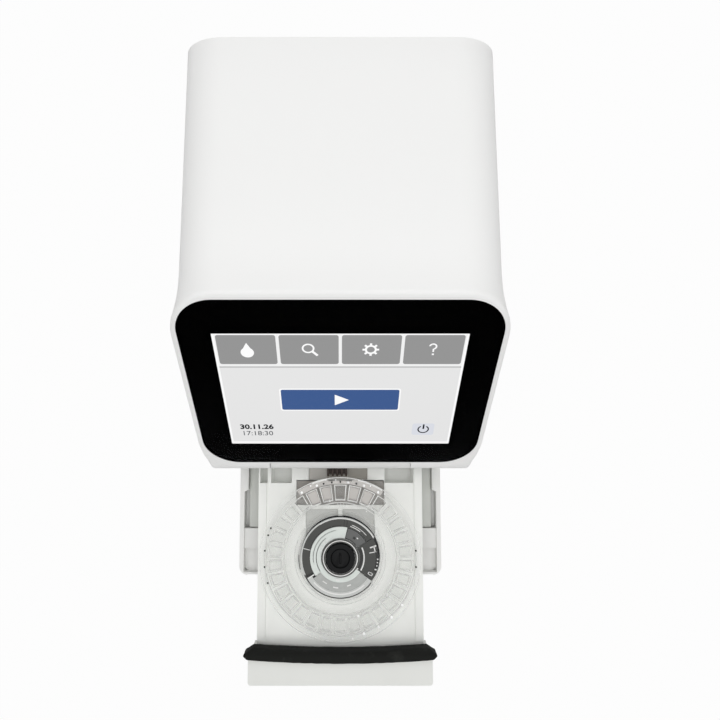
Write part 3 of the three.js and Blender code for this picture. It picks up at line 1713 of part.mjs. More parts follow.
function makeInletAndSwitch() {
  const face = rearPanelFace + seatGap + inletFlangeThickness;
  let inlet = block(
    inletX - inletHalfWidth,
    inletX + inletHalfWidth,
    rearPanelFace - inletDepth,
    face - inletFlangeThickness / 2,
    inletZ - inletHalfHeight,
    inletZ + inletHalfHeight,
  ).add(block(
    inletX - inletHalfWidth - inletFlange,
    inletX + inletHalfWidth + inletFlange,
    rearPanelFace + seatGap,
    face,
    inletZ - inletHalfHeight - inletFlange,
    inletZ + inletHalfHeight + inletFlange,
  )).subtract(block(
    inletX - inletSocketHalfWidth,
    inletX + inletSocketHalfWidth,
    face - inletSocketDepth,
    face + cutOverrun,
    inletZ - inletSocketHalfHeight,
    inletZ + inletSocketHalfHeight,
  ));
  for (const step of [-1, 0, 1]) {
    const x = inletX + step * inletPinPitch;
    const z = inletZ + (step === 0 ? inletPinRise : -inletPinRise);
    inlet = inlet.add(block(
      x - inletPinHalf,
      x + inletPinHalf,
      face - inletSocketDepth - inletFlangeThickness,
      face - inletFlange,
      z - inletPinHalf,
      z + inletPinHalf,
    ));
  }
  addMesh('power_inlet', inlet, blackPlastic);
  const switchFrame = block(
    switchX - switchHalfWidth,
    switchX + switchHalfWidth,
    rearPanelFace - switchDepth,
    face,
    inletZ - switchHalfHeight,
    inletZ + switchHalfHeight,
  ).subtract(block(
    switchX - switchHalfWidth + switchWall,
    switchX + switchHalfWidth - switchWall,
    rearPanelFace - switchDepth + switchWall,
    face + cutOverrun,
    inletZ - switchHalfHeight + switchWall,
    inletZ + switchHalfHeight - switchWall,
  ));
  addMesh('switch_frame', switchFrame, blackPlastic);
  const pivotY = rearPanelFace - rockerPivotDepth;
  const halfHeight = switchHalfHeight - switchWall - runningGap;
  const tilt = THREE.MathUtils.degToRad(rockerDegrees);
  const rockerFace = outline([
    [pivotY - rockerThickness / 2, -halfHeight * Math.cos(tilt)],
    [pivotY + rockerThickness / 2, -halfHeight * Math.cos(tilt)],
    [pivotY + rockerThickness / 2 - halfHeight * Math.sin(tilt) / 2, 0],
    [pivotY + rockerThickness / 2, halfHeight * Math.cos(tilt)],
    [pivotY - rockerThickness / 2, halfHeight * Math.cos(tilt)],
    [pivotY - rockerThickness, 0],
  ]);
  const rocker = carryAcross(
    rockerFace,
    switchX - switchHalfWidth + switchWall + seatGap,
    switchX + switchHalfWidth - switchWall - seatGap,
  ).translate([0, -pivotY, 0]).rotate([rockerDegrees, 0, 0]).translate([0, pivotY, inletZ]);
  addMesh('power_rocker', rocker, blackPlastic);
}

function port(name, x, z, width, height, wall) {
  const front = rearPanelFace - portDepth;
  const shell = block(x - width / 2, x + width / 2, front, rearPanelFace, z - height / 2, z + height / 2)
    .subtract(block(
      x - width / 2 + wall,
      x + width / 2 - wall,
      front + wall,
      rearPanelFace + cutOverrun,
      z - height / 2 + wall,
      z + height / 2 - wall,
    ));
  addMesh(name, shell, steel);
}

makeUpperShell();
makeBaseHousing();
makeBottomCover();
makeFeet();
makeScreen();
makeGasket();
makeMouthFrame();
makeTray();
makeDrawerFront();
makeRunnersAndRails();
makeDrive();
makeSpindle();
makeDisc();
makeComb();
makeChassis();
makeOptics();
makeElectronics();
makeRearPanel();
makeFan();
makeInletAndSwitch();
port('usb_port_1', portX, portLowZ, portWidth, portHeight, portWall);
port('usb_port_2', portX, portLowZ + portPitch, portWidth, portHeight, portWall);
port('network_port', networkX, networkZ, networkWidth, networkHeight, networkWall);

parts.position.set(0, originShift, 0);

const analyzer = new THREE.Group();
analyzer.add(parts);
analyzer.updateMatrixWorld(true);

export default analyzer;
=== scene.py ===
import math

import bpy
from mathutils import Matrix, Vector, noise


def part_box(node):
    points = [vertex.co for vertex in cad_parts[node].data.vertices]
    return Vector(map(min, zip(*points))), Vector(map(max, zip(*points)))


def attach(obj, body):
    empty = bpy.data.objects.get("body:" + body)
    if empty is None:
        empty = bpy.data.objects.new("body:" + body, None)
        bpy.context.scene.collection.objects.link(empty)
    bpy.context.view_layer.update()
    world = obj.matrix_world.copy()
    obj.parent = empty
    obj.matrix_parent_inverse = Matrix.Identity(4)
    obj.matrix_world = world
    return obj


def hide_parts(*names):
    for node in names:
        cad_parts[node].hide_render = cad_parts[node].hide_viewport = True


# Looks of a bench-top blood chemistry analyzer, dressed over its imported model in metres, +Z up.

bl_info = {
    "name": "Blood Chemistry Analyzer",
    "version": (1, 0, 0),
    "blender": (4, 5, 0),
    "location": "View3D > Sidebar > Analyzer",
    "description": "Dresses the analyzer: case, screen, drawer, reagent disc, rear fittings and stage",
    "category": "Object",
}

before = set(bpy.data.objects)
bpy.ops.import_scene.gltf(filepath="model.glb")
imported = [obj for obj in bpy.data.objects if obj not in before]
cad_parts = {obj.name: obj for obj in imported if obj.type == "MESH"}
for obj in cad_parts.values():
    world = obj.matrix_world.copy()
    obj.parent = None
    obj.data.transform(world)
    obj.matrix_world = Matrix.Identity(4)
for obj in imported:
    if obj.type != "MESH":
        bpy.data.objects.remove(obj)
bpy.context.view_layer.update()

MM = 0.001
WHITE = (1, 1, 1, 1)
UP = Vector((0.0, 0.0, 1.0))
DISC_AXIS = Vector((0.0, -0.087, 0.0))
WEB_END = 26 * MM
RING_START = 30 * MM
CASE_FRONT = -0.0376
SLOPE_DEGREES = 48.43
SLOPE_FOOT = Vector((0.0, CASE_FRONT, 0.123))


def linear(hex_colour):
    """Turns an sRGB hex colour into the linear values that Blender's shaders use."""
    channels = [int(hex_colour[i:i + 2], 16) / 255 for i in (1, 3, 5)]
    return tuple(c / 12.92 if c <= 0.04045 else ((c + 0.055) / 1.055) ** 2.4 for c in channels)


# Sizes and colours that a user would change


class CaseSettings(bpy.types.PropertyGroup):
    """Skin of the case."""

    rim_round: bpy.props.FloatProperty(
        name="Rim round", description="Radius of the outer edge round the screen",
        default=2.2 * MM, min=0.2 * MM, max=2.5 * MM, unit="LENGTH", precision=5)
    edge_round: bpy.props.FloatProperty(
        name="Edge round", description="Radius of the moulded edges of the base",
        default=0.6 * MM, min=0.1 * MM, max=1.5 * MM, unit="LENGTH", precision=5)
    white: bpy.props.FloatVectorProperty(
        name="White", description="Colour of the case", subtype="COLOR", size=3,
        default=linear("#f5f5f4"), min=0.0, max=1.0)
    trim: bpy.props.FloatVectorProperty(
        name="Trim", description="Colour of the rear panel and the bottom cover", subtype="COLOR", size=3,
        default=linear("#c9cac8"), min=0.0, max=1.0)


class ScreenSettings(bpy.types.PropertyGroup):
    """What the display shows."""

    background: bpy.props.FloatVectorProperty(
        name="Background", description="Colour of the lit display", subtype="COLOR", size=3,
        default=linear("#e8e8e8"), min=0.0, max=1.0)
    keys: bpy.props.FloatVectorProperty(
        name="Keys", description="Colour of the four upper keys", subtype="COLOR", size=3,
        default=linear("#969696"), min=0.0, max=1.0)
    start_key: bpy.props.FloatVectorProperty(
        name="Start key", description="Colour of the large key", subtype="COLOR", size=3,
        default=linear("#3e5c92"), min=0.0, max=1.0)
    mark_height: bpy.props.FloatProperty(
        name="Mark height", description="Thickness of what is drawn on the display",
        default=0.05 * MM, min=0.02 * MM, max=0.1 * MM, unit="LENGTH", precision=6)


class DrawerSettings(bpy.types.PropertyGroup):
    """Tray, gasket and rails."""

    edge_round: bpy.props.FloatProperty(
        name="Edge round", description="Radius of the tray's moulded edges",
        default=0.35 * MM, min=0.1 * MM, max=0.8 * MM, unit="LENGTH", precision=5)
    tray: bpy.props.FloatVectorProperty(
        name="Tray", description="Colour of the tray", subtype="COLOR", size=3,
        default=linear("#f4f5f1"), min=0.0, max=1.0)
    rails: bpy.props.FloatVectorProperty(
        name="Rails", description="Colour of the rails and runners", subtype="COLOR", size=3,
        default=linear("#d2d4cf"), min=0.0, max=1.0)
    foam_swell: bpy.props.FloatProperty(
        name="Foam swell", description="Height of the unevenness of the foam gasket",
        default=0.24 * MM, min=0.0, max=0.3 * MM, unit="LENGTH", precision=6)


class DiscSettings(bpy.types.PropertyGroup):
    """Clear reagent disc."""

    cuvettes: bpy.props.IntProperty(
        name="Cuvettes", description="Number of cuvettes in the ring", default=30, min=12, max=36)
    well_inner: bpy.props.FloatProperty(
        name="Well inner radius", description="Distance from the axis to a cuvette's inner wall",
        default=32.2 * MM, min=30.0 * MM, max=34.0 * MM, unit="LENGTH", precision=5)
    well_outer: bpy.props.FloatProperty(
        name="Well outer radius", description="Distance from the axis to a cuvette's outer wall",
        default=38.6 * MM, min=36.0 * MM, max=40.0 * MM, unit="LENGTH", precision=5)
    well_depth: bpy.props.FloatProperty(
        name="Well depth", description="Depth of a cuvette", default=3.9 * MM, min=1.0 * MM, max=4.4 * MM,
        unit="LENGTH", precision=5)


class StageSettings(bpy.types.PropertyGroup):
    """Floor, lamps and camera."""

    camera_height: bpy.props.FloatProperty(
        name="Camera height", description="Height of the camera over the table", default=0.441,
        min=0.3, max=2.0, unit="LENGTH", precision=4)
    camera_setback: bpy.props.FloatProperty(
        name="Camera place", description="Camera's place along the part", default=-0.0083,
        min=-0.5, max=0.5, unit="LENGTH", precision=4)
    camera_tilt: bpy.props.FloatProperty(
        name="Camera tilt", description="Angle between the view and straight down",
        default=math.radians(5.0), min=0.0, max=math.radians(80.0), unit="ROTATION")
    lamp_power: bpy.props.FloatProperty(
        name="Lamp power", description="Power of the large overhead lamp", default=16.6, min=0.0, max=200.0)
    ambient: bpy.props.FloatProperty(
        name="Ambient", description="Strength of the even light from all sides", default=0.385,
        min=0.0, max=1.5)


# Modelling steps


def pick(piece):
    """Makes one piece the only selected and active object, in object mode."""
    if bpy.context.object and bpy.context.object.mode != "OBJECT":
        bpy.ops.object.mode_set(mode="OBJECT")
    bpy.ops.object.select_all(action="DESELECT")
    piece.select_set(True)
    bpy.context.view_layer.objects.active = piece


def settle(piece, name):
    """Puts a new primitive's place, turn and scale into its mesh and names it."""
    pick(piece)
    bpy.ops.object.transform_apply(location=True, rotation=True, scale=True)
    piece.name = name
    piece.data.name = name
    return piece


def add_block(name, low, high):
    """A box between two corners, given in metres."""
    low, high = Vector(low), Vector(high)
    bpy.ops.object.select_all(action="DESELECT")
    bpy.ops.mesh.primitive_cube_add(size=1.0, location=(low + high) / 2, scale=high - low)
    return settle(bpy.context.object, name)


def add_rod(name, radius, low, high, sides=48, axis="Z"):
    """A rod between two points that differ along one axis only."""
    low, high = Vector(low), Vector(high)
    turn = {"X": (0, math.pi / 2, 0), "Y": (math.pi / 2, 0, 0), "Z": (0, 0, 0)}[axis]
    bpy.ops.object.select_all(action="DESELECT")
    bpy.ops.mesh.primitive_cylinder_add(
        vertices=sides, radius=radius, depth=(high - low).length, location=(low + high) / 2, rotation=turn)
    return settle(bpy.context.object, name)


def add_mesh(name, points, faces):
    """A mesh from its points and faces."""
    mesh = bpy.data.meshes.new(name)
    mesh.from_pydata([tuple(p) for p in points], [], faces)
    mesh.update()
    piece = bpy.data.objects.new(name, mesh)
    bpy.context.scene.collection.objects.link(piece)
    return piece


def apply_modifier(piece, kind, **settings):
    """Adds a modifier with its settings and applies it."""
    pick(piece)
    modifier = piece.modifiers.new(kind.title(), kind)
    for key, value in settings.items():
        setattr(modifier, key, value)
    bpy.ops.object.modifier_apply(modifier=modifier.name)
    return piece


def cut(piece, cutter, operation="DIFFERENCE"):
    """Cuts, joins or trims a piece with another, which is used up."""
    apply_modifier(piece, "BOOLEAN", object=cutter, operation=operation, solver="EXACT")
    bpy.data.objects.remove(cutter)
    return piece


def smooth(piece, angle=35.0):
    """Shades a piece smooth, apart from edges sharper than the angle."""
    pick(piece)
    bpy.ops.object.shade_smooth_by_angle(angle=math.radians(angle))
    return piece


def soften(piece, width, segments=2, angle=32.0):
    """Rounds the sharp edges of a piece."""
    apply_modifier(
        piece, "BEVEL", width=width, segments=segments, limit_method="ANGLE",
        angle_limit=math.radians(angle), use_clamp_overlap=True)
    return smooth(piece)


def copy_of(node, name):
    """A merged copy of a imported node's mesh, ready to be refined."""
    piece = bpy.data.objects.new(name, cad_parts[node].data.copy())
    piece.data.name = name
    piece.data.materials.clear()
    bpy.context.scene.collection.objects.link(piece)
    pick(piece)
    bpy.ops.mesh.customdata_custom_splitnormals_clear()
    bpy.ops.object.mode_set(mode="EDIT")
    bpy.ops.mesh.select_all(action="SELECT")
    bpy.ops.mesh.remove_doubles(threshold=0.004 * MM)
    bpy.ops.mesh.dissolve_limited(angle_limit=math.radians(0.4))
    bpy.ops.object.mode_set(mode="OBJECT")
    return piece


def join(pieces, name):
    """Joins pieces into the first one."""
    pick(pieces[0])
    for piece in pieces:
        piece.select_set(True)
    if len(pieces) > 1:
        bpy.ops.object.join()
    pieces[0].name = name
    pieces[0].data.name = name
    return pieces[0]


def outward(piece):
    """Merges doubles and turns all faces outwards."""
    pick(piece)
    bpy.ops.object.mode_set(mode="EDIT")
    bpy.ops.mesh.select_all(action="SELECT")
    bpy.ops.mesh.remove_doubles(threshold=0.002 * MM)
    bpy.ops.mesh.normals_make_consistent(inside=False)
    bpy.ops.object.mode_set(mode="OBJECT")
    return piece


def spin_profile(name, profile, base, steps=96):
    """Turns a closed profile round the disc's axis: radius and height over a base, in millimetres."""
    points = [DISC_AXIS + Vector((r * MM, 0.0, base + z * MM)) for r, z in profile]
    piece = add_mesh(name, points, [tuple(range(len(points)))])
    pick(piece)
    bpy.ops.object.mode_set(mode="EDIT")
    bpy.ops.mesh.select_all(action="SELECT")
    bpy.ops.mesh.delete(type="ONLY_FACE")
    bpy.ops.mesh.select_all(action="SELECT")
    bpy.ops.mesh.spin(steps=steps, angle=2 * math.pi, center=DISC_AXIS, axis=UP, use_auto_merge=True)
    bpy.ops.object.mode_set(mode="OBJECT")
    return outward(piece)


def sector(name, inner, outer, start, end, low, high, steps):
    """A flat ring sector about the disc's axis, between two angles in degrees and two heights in metres."""
    points, faces = [], []
    for i in range(steps + 1):
        angle = math.radians(start + (end - start) * i / steps)
        away = Vector((math.cos(angle), math.sin(angle), 0.0))
        for radius, height in ((inner, low), (outer, low), (outer, high), (inner, high)):
            points.append(DISC_AXIS + away * radius * MM + UP * height)
    for i in range(steps):
        for k in range(4):
            a, b = 4 * i + k, 4 * i + (k + 1) % 4
            faces.append((a, b, b + 4, a + 4))
    faces.append((0, 3, 2, 1))
    faces.append(tuple(4 * steps + k for k in range(4)))
    return outward(add_mesh(name, points, faces))


def rounded_plate(name, half_width, start, end, radius, low, high, segments=12):
    """A plate with round corners, given flat: across, along the slope and above it."""
    bpy.ops.object.select_all(action="DESELECT")
    bpy.ops.mesh.primitive_plane_add(
        size=1.0, location=(0, (start + end) / 2, low), scale=(1, 1, 1))
    piece = bpy.context.object
    piece.scale = (2 * half_width, end - start, 1)
    settle(piece, name)
    bpy.ops.object.mode_set(mode="EDIT")
    bpy.ops.mesh.select_all(action="SELECT")
    bpy.ops.mesh.bevel(offset=radius, segments=segments, affect="VERTICES", profile=0.5)
    bpy.ops.mesh.select_all(action="SELECT")
    bpy.ops.mesh.extrude_region_move(TRANSFORM_OT_translate={"value": (0, 0, high - low)})
    bpy.ops.object.mode_set(mode="OBJECT")
    return outward(piece)


def flat_shape(name, outline, low, high):
    """A closed flat outline raised between two heights."""
    points = [Vector((x, y, low)) for x, y in outline]
    piece = add_mesh(name, points, [tuple(range(len(points)))])
    pick(piece)
    bpy.ops.object.mode_set(mode="EDIT")
    bpy.ops.mesh.select_all(action="SELECT")
    bpy.ops.mesh.extrude_region_move(TRANSFORM_OT_translate={"value": (0, 0, high - low)})
    bpy.ops.object.mode_set(mode="OBJECT")
    return outward(piece)


SLOPE = Matrix.Translation(SLOPE_FOOT) @ Matrix.Rotation(math.radians(SLOPE_DEGREES), 4, "X")


def lay_on_slope(piece):
    """Turns what was built flat onto the case's sloping front."""
    piece.data.transform(SLOPE)
    piece.data.update()
    return piece


def hand_over(piece, body, slot, material, *nodes):
    """Gives a finished piece its material, its body and the nodes that it stands for. Its slot is not used.
    """
    piece.data.materials.clear()
    piece.data.materials.append(material)
    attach(piece, body)
    if nodes:
        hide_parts(*nodes)
    return piece


def refine(node, name, body, slot, finish, width, segments=2, angle=32.0):
    """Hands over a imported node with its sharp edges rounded, by a width in metres."""
    piece = soften(copy_of(node, name), width, segments, angle)
    return hand_over(piece, body, slot, FINISHES[finish], node)


def finish_node(node, material):
    """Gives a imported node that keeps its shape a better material."""
    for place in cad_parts[node].material_slots:
        place.material = material


# Materials


def add_node(tree, kind, fixed=None, links=None, **settings):
    """Adds one shader node: its settings, its fixed inputs and what is linked to its inputs."""
    made = tree.nodes.new(kind)
    for key, value in settings.items():
        setattr(made, key, value)
    for key, value in (fixed or {}).items():
        made.inputs[key].default_value = value
    for key, source in (links or {}).items():
        tree.links.new(source, made.inputs[key])
    return made


def start_material(name):
    """An empty node material, and the object coordinates that its patterns follow."""
    material = bpy.data.materials.get(name)
    if material:
        bpy.data.materials.remove(material)
    material = bpy.data.materials.new(name)
    material.use_nodes = True
    tree = material.node_tree
    tree.nodes.clear()
    place = add_node(tree, "ShaderNodeTexCoord").outputs["Object"]
    return material, tree, place


def end_material(material, tree, shader):
    """Links the finished shader to the output and gives the material back."""
    add_node(tree, "ShaderNodeOutputMaterial", links={"Surface": shader.outputs[0]})
    return material


def per_metre(size_mm):
    """Scale of a pattern whose real size is given in millimetres."""
    return 1000 / size_mm


def rgba(colour, shade=1.0):
    """A colour with full alpha, made lighter or darker."""
    return (colour[0] * shade, colour[1] * shade, colour[2] * shade, 1.0)


def soft_noise(tree, place, size_mm, detail, **fixed):
    """Noise whose swells are about a size in millimetres."""
    settings = {"Scale": per_metre(size_mm), "Detail": detail, **fixed}
    return add_node(tree, "ShaderNodeTexNoise", settings, {"Vector": place}).outputs["Fac"]


def between(tree, share, first, second):
    """A colour between two, by a share."""
    settings = {"Color1": first, "Color2": second}
    return add_node(tree, "ShaderNodeMixRGB", settings, {"Fac": share}).outputs["Color"]


def spread_out(tree, value, low, high, start=0.0, end=1.0):
    """Maps what a value runs through, from start to end, onto low to high."""
    settings = {"From Min": start, "From Max": end, "To Min": low, "To Max": high}
    return add_node(tree, "ShaderNodeMapRange", settings, {"Value": value}).outputs["Result"]


def relief(tree, height, strength, depth_mm):
    """Direction of a surface with small bumps."""
    settings = {"Strength": strength, "Distance": depth_mm * MM}
    return add_node(tree, "ShaderNodeBump", settings, {"Height": height}).outputs["Normal"]


def calculate(tree, operation, *values, **settings):
    """One calculation with plain numbers and with values of other nodes."""
    fixed = {place: value for place, value in enumerate(values) if isinstance(value, float)}
    links = {place: value for place, value in enumerate(values) if not isinstance(value, float)}
    return add_node(tree, "ShaderNodeMath", fixed, links, operation=operation, **settings).outputs[0]


def surface(tree, colour, roughness, normal=None, shine=0.5, ior=1.5, metallic=0.0):
    """The main shader, with a colour from another node and a roughness that is a number or comes from one."""
    fixed = {"Specular IOR Level": shine, "IOR": ior, "Metallic": metallic}
    links = {"Base Color": colour}
    kept = fixed if isinstance(roughness, float) else links
    kept["Roughness"] = roughness
    if normal:
        links["Normal"] = normal
    return add_node(tree, "ShaderNodeBsdfPrincipled", fixed, links)


def mix_shaders(tree, share, first, second):
    """Two shaders mixed by a share."""
    links = {"Fac": share, 1: first.outputs[0], 2: second.outputs[0]}
    return add_node(tree, "ShaderNodeMixShader", {}, links)


def moulded_plastic(name, colour, roughness, grain_mm, depth_mm, cloud_mm=14.0, spread=0.025, shine=0.35):
    """Moulded thermoplastic: an even colour, slightly cloudy over a hand's width, with a spark-eroded
    grain that breaks up the shine. A real grain is about 0.1 mm and is drawn as coarse as it needs."""
    material, tree, place = start_material(name)
    cloud = soft_noise(tree, place, cloud_mm, 2.0)
    tint = between(tree, cloud, rgba(colour, 1 - spread), rgba(colour))
    grain = soft_noise(tree, place, grain_mm, 3.0, Roughness=0.6)
    gloss = spread_out(tree, grain, roughness - 0.05, roughness + 0.06)
    texture = relief(tree, grain, 0.35, depth_mm)
    return end_material(material, tree, surface(tree, tint, gloss, texture, shine))


def foam_rubber(name):
    """Black closed-cell foam: matt, with open cut cells of about 0.8 mm and faint lighter grey patches on the
    swells of a 7 mm noise.
    """
    material, tree, place = start_material(name)
    cells = add_node(tree, "ShaderNodeTexVoronoi", {"Scale": per_metre(0.8)}, {"Vector": place})
    swell = soft_noise(tree, place, 7.0, 4.0)
    pale_patches = spread_out(tree, swell, 0.0, 0.5, 0.55, 0.8)
    colour = between(tree, pale_patches, rgba(linear("#1b1c1a")), rgba(linear("#3a3b38")))
    height = calculate(tree, "MULTIPLY", cells.outputs["Distance"], 0.6)
    return end_material(material, tree, surface(tree, colour, 0.92, relief(tree, height, 0.6, 0.25), 0.2))


def coated_glass(name):
    """Toughened cover glass with an anti-reflective coat: clear, and hardly mirroring the room."""
    material, tree, place = start_material(name)
    smear = soft_noise(tree, place, 22.0, 5.0)
    gloss = spread_out(tree, smear, 0.01, 0.06)
    bare = add_node(tree, "ShaderNodeFresnel", {"IOR": 1.45})
    coated = calculate(tree, "POWER", bare.outputs[0], 1.2)
    side = add_node(tree, "ShaderNodeNewGeometry")
    outer = calculate(tree, "SUBTRACT", 1.0, side.outputs["Backfacing"])
    share = calculate(tree, "MULTIPLY", coated, outer)
    clear = add_node(tree, "ShaderNodeBsdfTransparent", {"Color": WHITE})
    shine = add_node(tree, "ShaderNodeBsdfPrincipled",
                     {"Base Color": (0.03, 0.03, 0.035, 1), "Metallic": 1.0}, {"Roughness": gloss})
    return end_material(material, tree, mix_shaders(tree, share, clear, shine))


def printed_black(name):
    """Black ink printed on the back of the glass: dense and without shine, with hardly seen pinholes."""
    material, tree, place = start_material(name)
    specks = soft_noise(tree, place, 0.5, 1.0)
    colour = between(tree, specks, rgba(linear("#010101")), rgba(linear("#040404")))
    return end_material(material, tree, surface(tree, colour, 0.6, shine=0.0))


def lit_surface(name, colour, strength=1.0, pixel_mm=0.3, spread=0.012):
    """Part of a lit display: it glows in its own colour, with a faint grid of pixels, drawn at 0.3 mm."""
    material, tree, place = start_material(name)
    grid = add_node(tree, "ShaderNodeTexVoronoi", {"Scale": per_metre(pixel_mm), "Randomness": 0.0},
                    {"Vector": place}, distance="CHEBYCHEV")
    fade = soft_noise(tree, place, 60.0, 0.0)
    both = calculate(tree, "MULTIPLY", grid.outputs["Distance"], fade)
    glow = between(tree, both, rgba(colour), rgba(colour, 1 - spread * 4))
    shader = add_node(tree, "ShaderNodeBsdfPrincipled",
                      {"Base Color": (0.01, 0.01, 0.01, 1), "Roughness": 0.5, "Specular IOR Level": 0.0,
                       "Emission Strength": strength},
                      {"Emission Color": glow})
    return end_material(material, tree, shader)


def clear_styrene(name, tint, veil, inner_veil=None):
    """Clear moulded polystyrene: see-through, whiter where it is seen edge-on, with flow marks that bend the
    shine. A veil whitens it all over as painted reflection, for the light that the real disc throws back. The
    web round the hub is thinner than the outer ring and so clearer."""
    material, tree, place = start_material(name)
    flow = soft_noise(tree, place, 5.0, 3.0)
    shade = between(tree, flow, rgba(linear(tint), 0.86), rgba(linear(tint)))
    body = surface(tree, shade, 0.16, relief(tree, flow, 0.25, 0.2), 0.4)
    clear = add_node(tree, "ShaderNodeBsdfTransparent", {"Color": WHITE})
    edge = add_node(tree, "ShaderNodeLayerWeight", {"Blend": 0.5})
    steep = calculate(tree, "POWER", edge.outputs["Facing"], 1.5)
    flat = add_node(tree, "ShaderNodeVectorMath", {1: (1, 1, 0)}, {0: place}, operation="MULTIPLY")
    away = add_node(tree, "ShaderNodeVectorMath", {1: DISC_AXIS}, {0: flat.outputs["Vector"]},
                    operation="DISTANCE")
    # The veil is painted reflection, fainter on the thin web round the hub
    painted_sheen_share = spread_out(tree, away.outputs["Value"], veil if inner_veil is None else inner_veil, veil,
                      WEB_END, RING_START)
    share = calculate(tree, "MULTIPLY_ADD", steep, 0.6, painted_sheen_share, use_clamp=True)
    return end_material(material, tree, mix_shaders(tree, share, clear, body))


def metal(name, colour, roughness, brushed_mm=0.35, stretch=18.0, depth_mm=0.02):
    """Bare metal: fine drawn or brushed lines along the part, and uneven shine."""
    material, tree, place = start_material(name)
    stretched = add_node(tree, "ShaderNodeMapping", {"Scale": (1.0, 1.0 / stretch, 1.0)}, {"Vector": place})
    lines = soft_noise(tree, stretched.outputs["Vector"], brushed_mm, 2.0)
    gloss = spread_out(tree, lines, roughness - 0.08, roughness + 0.1)
    tint = between(tree, lines, rgba(colour, 0.88), rgba(colour))
    scratches = relief(tree, lines, 0.3, depth_mm)
    return end_material(material, tree, surface(tree, tint, gloss, scratches, metallic=1.0))


def circuit_board(name):
    """Glass-epoxy board under green solder mask: copper tracks show as a lighter pattern 0.7 mm wide."""
    material, tree, place = start_material(name)
    tracks = add_node(tree, "ShaderNodeTexVoronoi", {"Scale": per_metre(5.0), "Randomness": 0.65},
                      {"Vector": place}, distance="MANHATTAN", feature="DISTANCE_TO_EDGE")
    edge = spread_out(tree, tracks.outputs["Distance"], 1.0, 0.0, 0.05, 0.09)
    colour = between(tree, edge, rgba(linear("#1c5235")), rgba(linear("#2f7a4d")))
    return end_material(material, tree, surface(tree, colour, 0.35))


def polyimide_heater(name):
    """Brown polyimide film with its etched heating track showing through as darker bands 3 mm wide."""
    material, tree, place = start_material(name)
    track = add_node(tree, "ShaderNodeTexWave", {"Scale": per_metre(19.0), "Distortion": 0.0},
                     {"Vector": place}, wave_type="BANDS", bands_direction="Y")
    band = spread_out(tree, track.outputs["Fac"], 0.0, 1.0, 0.45, 0.55)
    colour = between(tree, band, rgba(linear("#6b4423")), rgba(linear("#8f5d2c")))
    return end_material(material, tree, surface(tree, colour, 0.3, ior=1.6))


def rubber(name, colour):
    """Moulded rubber foot: matt dark grey, bloomed with a lighter film in patches."""
    material, tree, place = start_material(name)
    bloom = soft_noise(tree, place, 3.0, 4.0)
    tint = between(tree, bloom, rgba(colour), rgba(colour, 1.5))
    return end_material(material, tree, surface(tree, tint, 0.85, relief(tree, bloom, 0.3, 0.1), 0.25))


FINISHES = {}


